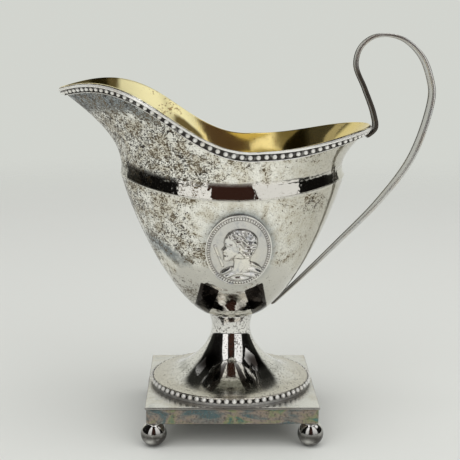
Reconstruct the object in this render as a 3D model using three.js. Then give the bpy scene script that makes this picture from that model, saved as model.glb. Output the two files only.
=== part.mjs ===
// Silver cream jug of helmet form: beaded rim, high strap handle, oval portrait medallion,
// trumpet foot with a beaded edge, and a square plinth on four balls.
// Millimetres, +Z up. The spout points to -X, the handle to +X and the medallion to -Y.
import * as THREE from "three";
import { mergeVertices } from "three/addons/utils/BufferGeometryUtils.js";

// Driving dimensions: sheet and seams
const SHEET = 0.9; // raised sheet of the bowl, the neck and the foot
const SEAM = 0.3; // room for solder between pieces that meet on a curve

// Ball feet
const BALL_RADIUS = 5.1;
const BALL_FLAT_RADIUS = 1.2; // worn flat that stands on the table
const BALL_SEAT_RADIUS = 2.1; // flat that is soldered under the plinth
const BALL_INSET = 3.3; // centre of a ball from the plinth's sides

// Plinth
const PLINTH_MARGIN = 2.4; // plate beyond the foot's edge at the middle of each side
const PLINTH_LEDGE = 7; // plate inside the foot's band, up to the opening below the hollow foot
const PLINTH_TOP_THICKNESS = 0.9;
const SKIRT_HEIGHT = 5.9;
const SKIRT_WALL = 1.1;
const SKIRT_SETBACK = 0.4; // how far the top plate overhangs the skirt
const SKIRT_CORNER_RADIUS = 2;
const FRAME_WIDTH = 7.5;
const FRAME_THICKNESS = 1;

// Foot
const FOOT_RADIUS = 31.6;
const FOOT_BAND_PLAIN = 0.54; // height of the plain band below the beads
const FOOT_BAND_WIDTH = 2.6; // flat seat under the foot's edge
const FOOT_BAND_LEDGE = 0.6; // how far the plain band stands out beyond the foot's edge
const FOOT_BEAD_RADIUS = 0.9;
const FOOT_BEAD_PITCH = 3;
const FOOT_BEAD_MARGIN = 0.12; // between a bead and the edges of its sloping seat
const FOOT_RISE = 20.2; // from the foot's edge up to the waist
const FOOT_EDGE_PULL = 11.4; // how far the flare runs on from the edge before it turns up
const FOOT_WAIST_PULL = 8.1; // how far the flare runs on below the waist
const FOOT_EDGE_SLOPE = THREE.MathUtils.degToRad(3.6);
const WAIST_RADIUS = 7.9;
const STEM_TOP_RADIUS = 9.2;
const STEM_TOP_RISE = 6.2; // from the waist up to the bowl

// Lower bowl
const BOWL_HEIGHT = 57.8;
const BOWL_BASE_PULL = 12.6; // how far the bottom runs on before it turns up
const BOWL_BASE_SLOPE = THREE.MathUtils.degToRad(12);
const BOWL_TOP_PULL = 22.8; // how far the wall runs on below the shoulder
const BOWL_TOP_LEAN = THREE.MathUtils.degToRad(14.9);
const SHOULDER_HALF_LENGTH = 44.7;
const SHOULDER_HALF_WIDTH = 37.5;
const SHOULDER_DIP = 5.8; // how far the shoulder line sinks along the sides

// Neck and rim
const NECK_PINCH = 1.7; // how far the neck draws in above the shoulder at the spout
const NECK_END_PINCH = 2.9; // and at the handle
const NECK_LOW_SHARE = 0.33; // share of the neck's height that stays drawn in
const FLARE_REACH_SHARE = 0.7; // share of the overhang that the flare makes at its end
const FLARE_HEIGHT_SHARE = 0.38; // share of the height that the flare makes it in
const SPOUT_OVERHANG = 24.1; // tip of the spout beyond the shoulder
const END_OVERHANG = 10.3; // rim at the handle beyond the shoulder
const SIDE_OVERHANG = 1.9; // rim at its widest beyond the shoulder
const RIM_WIDEST_X = -26;
const SPOUT_FULLNESS = 0.45; // 1 is an ellipse, less is more pointed
const END_FULLNESS = 1.21;
const RIM_LOW_X = 10.2;
const RIM_LOW_RISE = 12.4; // lowest point of the rim above the shoulder's ends
const CREST_RISE = 23.3; // crest behind the spout above the rim's lowest point
const CREST_X = -56.8;
const CREST_LEAN = 0.048; // holds the sweep low in the middle and full at the crest
const END_RISE = 7.8; // sweep of the rim up to the handle
const END_WAVE = 57.3; // length over which that sweep would level out

// Beaded band round the rim
const BAND_THICKNESS = 0.9;
const BAND_CHANNEL = 0.4; // thickness left behind the beads
const BAND_FILLET = 0.75; // plain edge above the beads
const BAND_THREAD = 0.45; // thin edge below the beads
const RIM_BEAD_RADIUS = 0.8;
const RIM_BEAD_PITCH = 3.07;
const RIM_BEAD_MARGIN = 0.3; // between a bead and the edges of its channel

// Handle strap
const STRAP_THICKNESS = 1.45;
const STRAP_TIP_THICKNESS = 0.8;
const STRAP_ROOT_WIDTH = 8.4;
const STRAP_THROAT_WIDTH = 6.2;
const STRAP_GRIP_WIDTH = 9;
const STRAP_TAIL_WIDTH = 4;
const STRAP_EDGE_BEVEL = 0.35;
const STRAP_ROOT_LAP = 1; // length of the root below the band
const LOOP_RISE = 36.4; // top of the loop above the rim at the handle
const LOOP_REACH = 22.4; // furthest point of the loop beyond its root
const TAIL_START = 0.25; // places along the bowl's curve where the tail lies on it
const TAIL_END = 0.175;

// Medallion
const MEDALLION_WIDTH = 23;
const MEDALLION_HEIGHT = 28.6;
const MEDALLION_THICKNESS = 0.7;
const MEDALLION_OFFSET = 1.8; // to the right of the jug's axis, seen from the front
const MEDALLION_PLACE = 0.678; // its centre along the bowl's curve
const MEDALLION_BORDER = 1.2;
const MEDALLION_BORDER_RISE = 0.35;
const RELIEF_RISE = 1.1;
const BEZEL_WIDTH = 0.9;
const BEZEL_HEIGHT = 1.2;

// Sizes of the plinth that follow the foot
const PLINTH_SIDE = 2 * (FOOT_RADIUS + PLINTH_MARGIN);
const PLINTH_VENT_RADIUS = FOOT_RADIUS - FOOT_BAND_WIDTH - PLINTH_LEDGE;

// Heights of the pieces above the table
const BALL_CENTRE_Z = Math.sqrt(BALL_RADIUS ** 2 - BALL_FLAT_RADIUS ** 2);
const SKIRT_Z = BALL_CENTRE_Z + Math.sqrt(BALL_RADIUS ** 2 - BALL_SEAT_RADIUS ** 2);
const PLINTH_TOP_Z = SKIRT_Z + SKIRT_HEIGHT;
const FOOT_BAND_Z = PLINTH_TOP_Z + PLINTH_TOP_THICKNESS;
const FOOT_BEAD_SLOPE = (FOOT_BEAD_RADIUS + FOOT_BEAD_MARGIN) * Math.SQRT2; // rise and run of the beads' seat
const FOOT_Z = FOOT_BAND_Z + FOOT_BAND_PLAIN + FOOT_BEAD_MARGIN + FOOT_BEAD_SLOPE;
const WAIST_Z = FOOT_Z + SHEET + FOOT_RISE;
const BOWL_Z = WAIST_Z + STEM_TOP_RISE;
const SHOULDER_Z = BOWL_Z + BOWL_HEIGHT;
const RIM_LOW_Z = SHOULDER_Z + RIM_LOW_RISE;

// How finely the curved pieces are faceted
const BODY_COLUMNS = 56;
const FOOT_COLUMNS = 36;
const BALL_COLUMNS = 12;
const MEDALLION_COLUMNS = 36;
const MEDALLION_RINGS = 9;
const BEAD_SIDES = 5;
const CORNER_STEPS = 2;
const VENT_STEPS = 12;
const STRAP_STEPS = 54;

// A closed skin over rows of points. Each row is a closed loop.
// The rows close into a ring or end in flat caps.
function skin(rows, isRing) {
  const count = rows[0].length;
  const faces = [];
  for (let i = 0; i < (isRing ? rows.length : rows.length - 1); i++) {
    const here = i * count;
    const next = ((i + 1) % rows.length) * count;
    for (let j = 0; j < count; j++) {
      const k = (j + 1) % count;
      faces.push([here + j, next + j, next + k], [here + j, next + k, here + k]);
    }
  }
  const end = (rows.length - 1) * count;
  for (let j = 1; !isRing && j < count - 1; j++) {
    faces.push([0, j, j + 1], [end, end + j + 1, end + j]);
  }
  const geometry = new THREE.BufferGeometry().setFromPoints(rows.flat());
  geometry.setIndex(faces.flat());
  return facingOut(mergeVertices(geometry));
}

// The same mesh without collapsed faces, and with its faces turned outwards.
function facingOut(geometry) {
  const index = Array.from(geometry.index.array);
  const corner = (i) => new THREE.Vector3().fromBufferAttribute(geometry.attributes.position, i);
  const kept = [];
  let volume = 0;
  for (let i = 0; i < index.length; i += 3) {
    const [a, b, c] = index.slice(i, i + 3);
    if (a === b || b === c || c === a) continue;
    kept.push([a, b, c]);
    volume += corner(a).dot(corner(b).cross(corner(c)));
  }
  geometry.setIndex(kept.flatMap(([a, b, c]) => (volume > 0 ? [a, b, c] : [a, c, b])));
  return geometry;
}

// The outward normal of a surface point(a, b), from short steps either way.
// Across the surface a runs round the jug and b runs up it.
function normalOf(point, a, b) {
  const step = 1e-3;
  const round = point(a + step, b).sub(point(a - step, b));
  const up = point(a, b + step).sub(point(a, b - step));
  const normal = round.cross(up).normalize();
  const here = point(a, b);
  return normal.x * here.x + normal.y * here.y < 0 ? normal.negate() : normal;
}

function offsetPoint(point, a, b, distance) {
  return point(a, b).addScaledVector(normalOf(point, a, b), distance);
}

const steps = (count) => Array.from({ length: count + 1 }, (_, i) => i / count);
const ringAngles = (count) => Array.from({ length: count }, (_, i) => (i / count) * 2 * Math.PI);

// Ball foot: a turned ball with a flat to stand on and a flat to be soldered by
function ballGeometry() {
  const lowest = -Math.acos(BALL_FLAT_RADIUS / BALL_RADIUS);
  const highest = Math.acos(BALL_SEAT_RADIUS / BALL_RADIUS);
  const profile = steps(6).map((share) => {
    const angle = THREE.MathUtils.lerp(lowest, highest, share);
    return new THREE.Vector2(BALL_RADIUS * Math.cos(angle), BALL_CENTRE_Z + BALL_RADIUS * Math.sin(angle));
  });
  profile[0].y = 0;
  return turned([new THREE.Vector2(0, 0), ...profile, new THREE.Vector2(0, SKIRT_Z)], BALL_COLUMNS);
}

// A profile of (radius, height) turned round the upright axis.
function turned(profile, columns) {
  return new THREE.LatheGeometry(profile, columns).rotateX(Math.PI / 2);
}

// Plinth: a square plate on a bent skirt, with a flat frame inside that carries the balls
function roundedSquare(side, radius, Path = THREE.Shape) {
  const half = side / 2;
  const flat = half - radius;
  const outline = new Path();
  outline.moveTo(half, -flat);
  outline.lineTo(half, flat);
  outline.absarc(flat, flat, radius, 0, Math.PI / 2);
  outline.lineTo(-flat, half);
  outline.absarc(-flat, flat, radius, Math.PI / 2, Math.PI);
  outline.lineTo(-half, -flat);
  outline.absarc(-flat, -flat, radius, Math.PI, 1.5 * Math.PI);
  outline.lineTo(flat, -half);
  outline.absarc(flat, -flat, radius, 1.5 * Math.PI, 2 * Math.PI);
  return outline;
}

function plate(outline, hole, thickness, z, arcSteps) {
  outline.holes.push(hole);
  const settings = { depth: thickness, bevelEnabled: false, curveSegments: arcSteps };
  return new THREE.ExtrudeGeometry(outline, settings).translate(0, 0, z);
}

function plinthTopGeometry() {
  const half = PLINTH_SIDE / 2;
  const outline = new THREE.Shape([
    new THREE.Vector2(-half, -half),
    new THREE.Vector2(half, -half),
    new THREE.Vector2(half, half),
    new THREE.Vector2(-half, half),
  ]);
  const vent = new THREE.Path().absarc(0, 0, PLINTH_VENT_RADIUS, 0, 2 * Math.PI);
  return plate(outline, vent, PLINTH_TOP_THICKNESS, PLINTH_TOP_Z, VENT_STEPS);
}

const SKIRT_SIDE = PLINTH_SIDE - 2 * SKIRT_SETBACK;
const SKIRT_INNER_SIDE = SKIRT_SIDE - 2 * SKIRT_WALL;
const SKIRT_INNER_CORNER = Math.max(SKIRT_CORNER_RADIUS - SKIRT_WALL, SEAM);

function skirtGeometry() {
  const inside = roundedSquare(SKIRT_INNER_SIDE, SKIRT_INNER_CORNER, THREE.Path);
  return plate(roundedSquare(SKIRT_SIDE, SKIRT_CORNER_RADIUS), inside, SKIRT_HEIGHT, SKIRT_Z, CORNER_STEPS);
}

function frameGeometry() {
  const side = SKIRT_INNER_SIDE - 2 * SEAM;
  const inside = roundedSquare(side - 2 * FRAME_WIDTH, SKIRT_CORNER_RADIUS, THREE.Path);
  return plate(roundedSquare(side, SKIRT_CORNER_RADIUS), inside, FRAME_THICKNESS, SKIRT_Z, CORNER_STEPS);
}

// Trumpet foot: two curves, one from the edge up to the waist and one from the waist up to the bowl
function footProfile(flareSteps, stemSteps) {
  const edge = new THREE.Vector2(FOOT_RADIUS, FOOT_Z + SHEET);
  const waist = new THREE.Vector2(WAIST_RADIUS, WAIST_Z);
  const top = new THREE.Vector2(STEM_TOP_RADIUS, BOWL_Z);
  const flare = new THREE.CubicBezierCurve(
    edge,
    new THREE.Vector2(
      edge.x - FOOT_EDGE_PULL * Math.cos(FOOT_EDGE_SLOPE),
      edge.y + FOOT_EDGE_PULL * Math.sin(FOOT_EDGE_SLOPE),
    ),
    new THREE.Vector2(waist.x, waist.y - FOOT_WAIST_PULL),
    waist,
  );
  const stemPull = new THREE.Vector2(waist.x, waist.y + STEM_TOP_RISE / 2);
  const stem = new THREE.QuadraticBezierCurve(waist, stemPull, top);
  return [...flare.getPoints(flareSteps), ...stem.getPoints(stemSteps).slice(1)];
}

function footGeometry() {
  const outer = footProfile(9, 3);
  const seatRadius = FOOT_RADIUS - FOOT_BAND_WIDTH;
  const inner = footProfile(6, 2)
    .map((point, i, profile) => {
      const along = profile[Math.min(i + 1, profile.length - 1)].clone().sub(profile[Math.max(i - 1, 0)]);
      along.normalize();
      return new THREE.Vector2(point.x - SHEET * along.y, point.y + SHEET * along.x);
    })
    .filter((point) => point.x < seatRadius - SEAM && point.y < BOWL_Z - SHEET);
  const bore = new THREE.Vector2(STEM_TOP_RADIUS - SHEET, BOWL_Z);
  const seat = new THREE.Vector2(seatRadius, FOOT_Z);
  const rimFoot = new THREE.Vector2(FOOT_RADIUS, FOOT_Z);
  return turned([rimFoot, ...outer, bore, ...inner.reverse(), seat, rimFoot.clone()], FOOT_COLUMNS);
}

const BEAD_BROW = 0.64; // angle up the bead's side, in radians, at which its facets break

// The faces of a quad with a half bead on its middle, as points taken three by three.
// The corners run anticlockwise seen from outside.
function beadOnQuad(corners, radius) {
  const [a, b, c, d] = corners;
  const centre = a.clone().add(b).add(c).add(d).divideScalar(4);
  const outward = c.clone().sub(a).cross(d.clone().sub(b)).normalize();
  const right = b.clone().sub(a).projectOnPlane(outward).normalize();
  const up = outward.clone().cross(right);
  const ring = (width, lift) =>
    ringAngles(BEAD_SIDES).map((angle) =>
      centre
        .clone()
        .addScaledVector(right, width * Math.cos(angle))
        .addScaledVector(up, width * Math.sin(angle))
        .addScaledVector(outward, lift),
    );
  const foot = ring(radius, 0);
  const brow = ring(radius * Math.cos(BEAD_BROW), radius * Math.sin(BEAD_BROW));
  const crown = centre.clone().addScaledVector(outward, radius);
  const flat = (point) => {
    const arm = point.clone().sub(centre);
    return new THREE.Vector2(arm.dot(right), arm.dot(up));
  };
  const floorPoints = [...corners, ...foot];
  const floor = THREE.ShapeUtils.triangulateShape(corners.map(flat), [foot.map(flat)]);
  const dome = foot.flatMap((here, i) => {
    const next = (i + 1) % BEAD_SIDES;
    return [here, foot[next], brow[next], here, brow[next], brow[i], brow[i], brow[next], crown];
  });
  return [...floor.flat().map((i) => floorPoints[i]), ...dome];
}

// A ring over rows of points, with a half bead on each quad along one side of its section.
// The rows run anticlockwise seen from above, and the sections run up the outside.
function beadedRing(rows, beadSide, radius, isBare = () => false) {
  const points = rows.flatMap((row, i) => {
    const next = rows[(i + 1) % rows.length];
    return row.flatMap((corner, j) => {
      const k = (j + 1) % row.length;
      const quad = [corner, next[j], next[k], row[k]];
      if (j === beadSide && !isBare(quad)) return beadOnQuad(quad, radius);
      return [0, 1, 2, 0, 2, 3].map((place) => quad[place]);
    });
  });
  return facingOut(mergeVertices(new THREE.BufferGeometry().setFromPoints(points)));
}

// Band under the foot's edge: plain below, with a row of beads on a seat that slopes at 45 degrees above
function footBandGeometry() {
  const inside = FOOT_RADIUS - FOOT_BAND_WIDTH;
  const outside = FOOT_RADIUS + FOOT_BAND_LEDGE;
  const seatTop = FOOT_RADIUS + FOOT_BEAD_MARGIN;
  const section = [
    [inside, FOOT_BAND_Z],
    [outside, FOOT_BAND_Z],
    [outside, FOOT_BAND_Z + FOOT_BAND_PLAIN],
    [seatTop + FOOT_BEAD_SLOPE, FOOT_Z - FOOT_BEAD_SLOPE],
    [seatTop, FOOT_Z],
    [inside, FOOT_Z],
  ];
  const seatSide = 3;
  const beadCircle = seatTop + FOOT_BEAD_SLOPE / 2;
  const count = Math.round((2 * Math.PI * beadCircle) / FOOT_BEAD_PITCH);
  const rows = ringAngles(count).map((angle) =>
    section.map(([radius, z]) => new THREE.Vector3(radius * Math.cos(angle), radius * Math.sin(angle), z)),
  );
  return beadedRing(rows, seatSide, FOOT_BEAD_RADIUS);
}

// Lower bowl: one curve from the stem to the shoulder, carried round a section that goes from round to oval
const bowlCurve = new THREE.CubicBezierCurve(
  new THREE.Vector2(STEM_TOP_RADIUS, BOWL_Z),
  new THREE.Vector2(
    STEM_TOP_RADIUS + BOWL_BASE_PULL * Math.cos(BOWL_BASE_SLOPE),
    BOWL_Z + BOWL_BASE_PULL * Math.sin(BOWL_BASE_SLOPE),
  ),
  new THREE.Vector2(
    SHOULDER_HALF_LENGTH - BOWL_TOP_PULL * Math.sin(BOWL_TOP_LEAN),
    SHOULDER_Z - BOWL_TOP_PULL * Math.cos(BOWL_TOP_LEAN),
  ),
  new THREE.Vector2(SHOULDER_HALF_LENGTH, SHOULDER_Z),
);

function bowlPoint(angle, share) {
  const { x: reach, y: height } = bowlCurve.getPoint(share);
  const rise = (height - BOWL_Z) / BOWL_HEIGHT;
  const squeeze = THREE.MathUtils.lerp(1, SHOULDER_HALF_WIDTH / SHOULDER_HALF_LENGTH, rise);
  const dip = SHOULDER_DIP * (rise * Math.sin(angle)) ** 2;
  return new THREE.Vector3(reach * Math.cos(angle), squeeze * reach * Math.sin(angle), height - dip);
}

// Level direction out of the oval shoulder, square to its line.
function shoulderOutward(angle) {
  const x = Math.cos(angle) / SHOULDER_HALF_LENGTH;
  const y = Math.sin(angle) / SHOULDER_HALF_WIDTH;
  return new THREE.Vector3(x, y, 0).normalize();
}

const shoulderInside = (angle) => bowlPoint(angle, 1).addScaledVector(shoulderOutward(angle), -SHEET);

function bowlGeometry() {
  const rows = ringAngles(BODY_COLUMNS).map((angle) => [
    new THREE.Vector3(0, 0, BOWL_Z),
    ...steps(8).map((share) => bowlPoint(angle, share)),
    shoulderInside(angle),
    ...steps(6)
      .slice(0, -1)
      .reverse()
      .map((share) => offsetPoint(bowlPoint, angle, share, -SHEET)),
    new THREE.Vector3(0, 0, BOWL_Z + SHEET),
  ]);
  return skin(rows, true);
}

// Rim: two half ovals of unlike length, pointed at the spout, on a height that sweeps up to both ends
const RIM_HALF_WIDTH = SHOULDER_HALF_WIDTH + SIDE_OVERHANG;
const SPOUT_X = -SHOULDER_HALF_LENGTH - SPOUT_OVERHANG;
const END_X = SHOULDER_HALF_LENGTH + END_OVERHANG;

function rimHeight(x) {
  const toSpout = x < RIM_LOW_X;
  const share = toSpout ? (RIM_LOW_X - x) / (RIM_LOW_X - CREST_X) : (x - RIM_LOW_X) / END_WAVE;
  const wave = (1 - Math.cos(Math.PI * share)) / 2;
  const lean = toSpout ? CREST_LEAN * Math.sin(2 * Math.PI * share) : 0;
  return RIM_LOW_Z + (toSpout ? CREST_RISE : END_RISE) * (wave - lean);
}

// A point of the rim. Around is an angle that starts at the spout and runs anticlockwise seen from above.
function rimPoint(around) {
  const along = Math.cos(around);
  const side = -Math.sin(around);
  const length = along > 0 ? RIM_WIDEST_X - SPOUT_X : END_X - RIM_WIDEST_X;
  const fullness = along > 0 ? SPOUT_FULLNESS : END_FULLNESS;
  const x = RIM_WIDEST_X - along * length;
  const y = RIM_HALF_WIDTH * (fullness * side + (1 - fullness) * side ** 3);
  return new THREE.Vector3(x, y, rimHeight(x));
}

// Angle of the shoulder under a point of the rim.
function shoulderAngle(around) {
  const { x, y } = rimPoint(around);
  return Math.atan2(y / SHOULDER_HALF_WIDTH, x / SHOULDER_HALF_LENGTH);
}

// Neck: from the shoulder it draws in, then flares to the rim
function neckPoint(around, share) {
  const angle = shoulderAngle(around);
  const top = rimPoint(around);
  const foot = bowlPoint(angle, 1);
  foot.z += SEAM;
  const height = top.z - foot.z;
  const pinch = THREE.MathUtils.lerp(NECK_PINCH, NECK_END_PINCH, (1 + Math.cos(angle)) / 2);
  const low = foot.clone().addScaledVector(shoulderOutward(angle), -pinch);
  low.z += NECK_LOW_SHARE * height;
  const high = top.clone().lerp(foot, FLARE_REACH_SHARE);
  high.z = top.z - FLARE_HEIGHT_SHARE * height;
  return new THREE.CubicBezierCurve3(foot, low, high, top).getPoint(share);
}

function neckGeometry() {
  const rows = ringAngles(BODY_COLUMNS).map((around) => {
    const lip = shoulderInside(shoulderAngle(around));
    lip.z += SEAM;
    const inner = steps(5).slice(1);
    return [
      ...steps(7).map((share) => neckPoint(around, share)),
      ...inner.reverse().map((share) => offsetPoint(neckPoint, around, share, -SHEET)),
      lip,
    ];
  });
  return skin(rows, true);
}

// Band round the rim: a strip with a fillet above, a thread below and a row of beads in the channel between
// A place on the band is given by its height above the band's lower edge and its distance out from the neck.
const CHANNEL_HEIGHT = 2 * (RIM_BEAD_RADIUS + RIM_BEAD_MARGIN);
const BAND_HEIGHT = BAND_THREAD + CHANNEL_HEIGHT + BAND_FILLET;

function bandPoint(around, height, out) {
  const slope = neckPoint(around, 1).distanceTo(neckPoint(around, 0.95)) / 0.05;
  const share = 1 - (BAND_HEIGHT - height) / slope;
  return offsetPoint(neckPoint, around, share, SEAM + out);
}

// Places round the rim at an even pitch along the band, with the tip of the spout midway between two of them.
function bandPlaces(pitch) {
  const fine = steps(1440).map((share) => 2 * Math.PI * share);
  const points = fine.map((around) => bandPoint(around, BAND_HEIGHT / 2, BAND_CHANNEL));
  const travelled = [0];
  points.slice(1).forEach((point, i) => travelled.push(travelled[i] + point.distanceTo(points[i])));
  const total = travelled.at(-1);
  const count = Math.round(total / pitch);
  return steps(count)
    .slice(0, -1)
    .map((share) => (share + 0.5 / count) * total)
    .map((target) => fine[travelled.findIndex((length) => length >= target)]);
}

function rimBandGeometry() {
  const channelTop = BAND_THREAD + CHANNEL_HEIGHT;
  const section = [
    [0, 0],
    [0, BAND_THICKNESS],
    [BAND_THREAD, BAND_THICKNESS],
    [BAND_THREAD, BAND_CHANNEL],
    [channelTop, BAND_CHANNEL],
    [channelTop, BAND_THICKNESS],
    [BAND_HEIGHT, BAND_THICKNESS],
    [BAND_HEIGHT, 0],
  ];
  const channelSide = 3;
  const rows = bandPlaces(RIM_BEAD_PITCH).map((around) =>
    section.map(([height, out]) => bandPoint(around, height, out)),
  );
  const rootReach = STRAP_ROOT_WIDTH / 2 + RIM_BEAD_RADIUS + SEAM;
  const isUnderHandle = ([left, right]) => left.x > 0 && Math.abs(left.y + right.y) / 2 < rootReach;
  return beadedRing(rows, channelSide, RIM_BEAD_RADIUS, isUnderHandle);
}

// Handle: a strap on a path in the plane of the jug
// The y of each path point holds the strap's width there.
// Across, up and down are shares of the loop's own sizes.
function handlePath() {
  const outside = SEAM + BAND_THICKNESS + STRAP_THICKNESS / 2;
  const rootAt = (height) => bandPoint(Math.PI, height, outside);
  const tip = rootAt(-STRAP_ROOT_LAP).setY(STRAP_ROOT_WIDTH);
  const bend = BAND_HEIGHT + STRAP_THICKNESS / 2; // clear of the band's edge
  const root = rootAt(bend).setY(STRAP_ROOT_WIDTH);
  const loop = [
    [-0.03, 0.146, STRAP_ROOT_WIDTH],
    [-0.2, 0.42, (STRAP_ROOT_WIDTH + STRAP_THROAT_WIDTH) / 2],
    [-0.37, 0.68, STRAP_THROAT_WIDTH],
    [-0.3, 0.865, STRAP_THROAT_WIDTH],
    [-0.08, 0.98, STRAP_THROAT_WIDTH],
    [0.2, 1, STRAP_THROAT_WIDTH],
    [0.5, 0.945, (STRAP_THROAT_WIDTH + STRAP_GRIP_WIDTH) / 2],
    [0.8, 0.77, STRAP_GRIP_WIDTH],
    [0.97, 0.51, STRAP_GRIP_WIDTH],
    [1, 0.33, STRAP_GRIP_WIDTH],
  ].map(([across, up, width]) => {
    return new THREE.Vector3(root.x + LOOP_REACH * across, width, root.z + LOOP_RISE * up);
  });
  const outermost = loop.at(-1);
  const tail = [0, 0.5, 1].map((share) => {
    const place = THREE.MathUtils.lerp(TAIL_START, TAIL_END, share);
    const thickness = THREE.MathUtils.lerp(STRAP_THICKNESS, STRAP_TIP_THICKNESS, share);
    return offsetPoint(bowlPoint, 0, place, SEAM + thickness / 2).setY(STRAP_TAIL_WIDTH);
  });
  const sweep = [
    [0.114, 0.282, STRAP_GRIP_WIDTH],
    [0.328, 0.505, (STRAP_GRIP_WIDTH + STRAP_TAIL_WIDTH) / 2],
    [0.614, 0.724, STRAP_TAIL_WIDTH],
    [0.856, 0.9, STRAP_TAIL_WIDTH],
  ].map(([across, down, width]) => {
    const point = outermost.clone();
    point.x += across * (tail[0].x - outermost.x);
    point.z += down * (tail[0].z - outermost.z);
    return point.setY(width);
  });
  return new THREE.CatmullRomCurve3([tip, root, ...loop, ...sweep, ...tail], false, "centripetal");
}

function handleGeometry() {
  const path = handlePath();
  const rows = steps(STRAP_STEPS).map((share) => {
    const here = path.getPointAt(share);
    const along = path.getTangentAt(share).setY(0).normalize();
    const across = new THREE.Vector3(along.z, 0, -along.x);
    const taper = THREE.MathUtils.smoothstep(share, 0.8, 1);
    const half = THREE.MathUtils.lerp(STRAP_THICKNESS, STRAP_TIP_THICKNESS, taper) / 2;
    const edge = here.y / 2;
    const bevelled = edge - STRAP_EDGE_BEVEL;
    const side = half - STRAP_EDGE_BEVEL / 2;
    const section = [
      [edge, -side],
      [edge, side],
      [bevelled, half],
      [-bevelled, half],
      [-edge, side],
      [-edge, -side],
      [-bevelled, -half],
      [bevelled, -half],
    ];
    return section.map(([y, out]) => new THREE.Vector3(here.x, y, here.z).addScaledVector(across, out));
  });
  return skin(rows, false);
}

// Medallion: an oval plate bent to the bowl, with a raised border and the rounded mass of a bust
// A place on the medallion is given in millimetres across and up from its centre, and out from the bowl.
function medallionPoint(across, up, out) {
  const front = -Math.PI / 2;
  const pace = (place) => bowlPoint(front, place + 0.01).distanceTo(bowlPoint(front, place - 0.01)) / 0.02;
  const strides = 8;
  let place = MEDALLION_PLACE;
  for (let i = 0; i < strides; i++) place += up / strides / pace(place);
  const round = bowlPoint(front + 0.01, place).distanceTo(bowlPoint(front - 0.01, place)) / 0.02;
  const angle = front + (MEDALLION_OFFSET + across) / round;
  return offsetPoint(bowlPoint, angle, place, SEAM + out);
}

// Rounded masses of the bust: place and half sizes across and up, and rise.
// All are shares of the medallion's half sizes and of the relief's rise.
const BUST = {
  skull: [0.1, 0.31, 0.5, 0.41, 1],
  face: [-0.1, 0.1, 0.4, 0.39, 0.8],
  neck: [0.14, -0.29, 0.31, 0.38, 0.7],
  shoulders: [0.1, -0.685, 0.66, 0.24, 0.7],
};

// Height of one mass: a flattened dome on an ellipse, nothing outside it.
function dome(across, up, [centreAcross, centreUp, halfWidth, halfHeight, rise]) {
  const away = ((across - centreAcross) / halfWidth) ** 2 + ((up - centreUp) / halfHeight) ** 2;
  return away < 1 ? RELIEF_RISE * rise * Math.sqrt(1 - away) : 0;
}

function medallionGeometry() {
  const halfWidth = MEDALLION_WIDTH / 2;
  const halfHeight = MEDALLION_HEIGHT / 2;
  const fieldShare = 1 - MEDALLION_BORDER / halfWidth;
  const borderFoot = fieldShare + (1 - fieldShare) / 4; // the border slopes up over its first quarter
  const relief = (across, up) => {
    const rises = Object.values(BUST).map((mass) => dome(across, up, mass));
    return MEDALLION_THICKNESS + Math.max(...rises);
  };
  const border = () => MEDALLION_THICKNESS + MEDALLION_BORDER_RISE;
  const back = () => 0;
  const rows = ringAngles(MEDALLION_COLUMNS).map((angle) => {
    const place = (share, rise) => {
      const across = share * Math.cos(angle);
      const up = share * Math.sin(angle);
      return medallionPoint(halfWidth * across, halfHeight * up, rise(across, up));
    };
    return [
      ...steps(MEDALLION_RINGS).map((share) => place(fieldShare * share, relief)),
      place(borderFoot, border),
      place(1, border),
      ...[1, 0.5, 0].map((share) => place(share, back)),
    ];
  });
  return skin(rows, true);
}

function bezelGeometry() {
  const section = [
    [SEAM, 0],
    [SEAM, BEZEL_HEIGHT - SEAM],
    [SEAM + BEZEL_WIDTH / 2, BEZEL_HEIGHT],
    [SEAM + BEZEL_WIDTH, BEZEL_HEIGHT - SEAM],
    [SEAM + BEZEL_WIDTH, 0],
  ];
  const rows = ringAngles(MEDALLION_COLUMNS).map((angle) =>
    section.map(([beyond, out]) => {
      const across = (MEDALLION_WIDTH / 2 + beyond) * Math.cos(angle);
      const up = (MEDALLION_HEIGHT / 2 + beyond) * Math.sin(angle);
      return medallionPoint(across, up, out);
    }),
  );
  return skin(rows, true);
}

// Finishes
const finish = (color, roughness) => new THREE.MeshStandardMaterial({ color, roughness, metalness: 1 });
const tarnishedSilver = finish(0xc9c3b4, 0.34);
const polishedSilver = finish(0xd4d0c6, 0.16);
const satinSilver = finish(0xc2beb4, 0.3);
const dulledSilver = finish(0x8f8c80, 0.42);

// The jug put together
const creamer = new THREE.Group();

function addPiece(name, geometry, material, x = 0, y = 0) {
  const piece = new THREE.Mesh(geometry, material);
  piece.name = name;
  piece.position.set(x, y, 0);
  creamer.add(piece);
}

const BALL_PLACE = PLINTH_SIDE / 2 - BALL_INSET;
const corners = { front_left: [-1, -1], front_right: [1, -1], back_left: [-1, 1], back_right: [1, 1] };
for (const [corner, [x, y]] of Object.entries(corners)) {
  addPiece(`ball_foot_${corner}`, ballGeometry(), polishedSilver, x * BALL_PLACE, y * BALL_PLACE);
}
addPiece("plinth_base_frame", frameGeometry(), dulledSilver);
addPiece("plinth_skirt", skirtGeometry(), dulledSilver);
addPiece("plinth_top", plinthTopGeometry(), satinSilver);
addPiece("foot_bead_ring", footBandGeometry(), polishedSilver);
addPiece("pedestal_foot", footGeometry(), polishedSilver);
addPiece("lower_bowl", bowlGeometry(), tarnishedSilver);
addPiece("neck", neckGeometry(), tarnishedSilver);
addPiece("rim_bead_band", rimBandGeometry(), polishedSilver);
addPiece("handle_strap", handleGeometry(), satinSilver);
addPiece("medallion", medallionGeometry(), satinSilver);
addPiece("medallion_bezel", bezelGeometry(), satinSilver);

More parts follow.
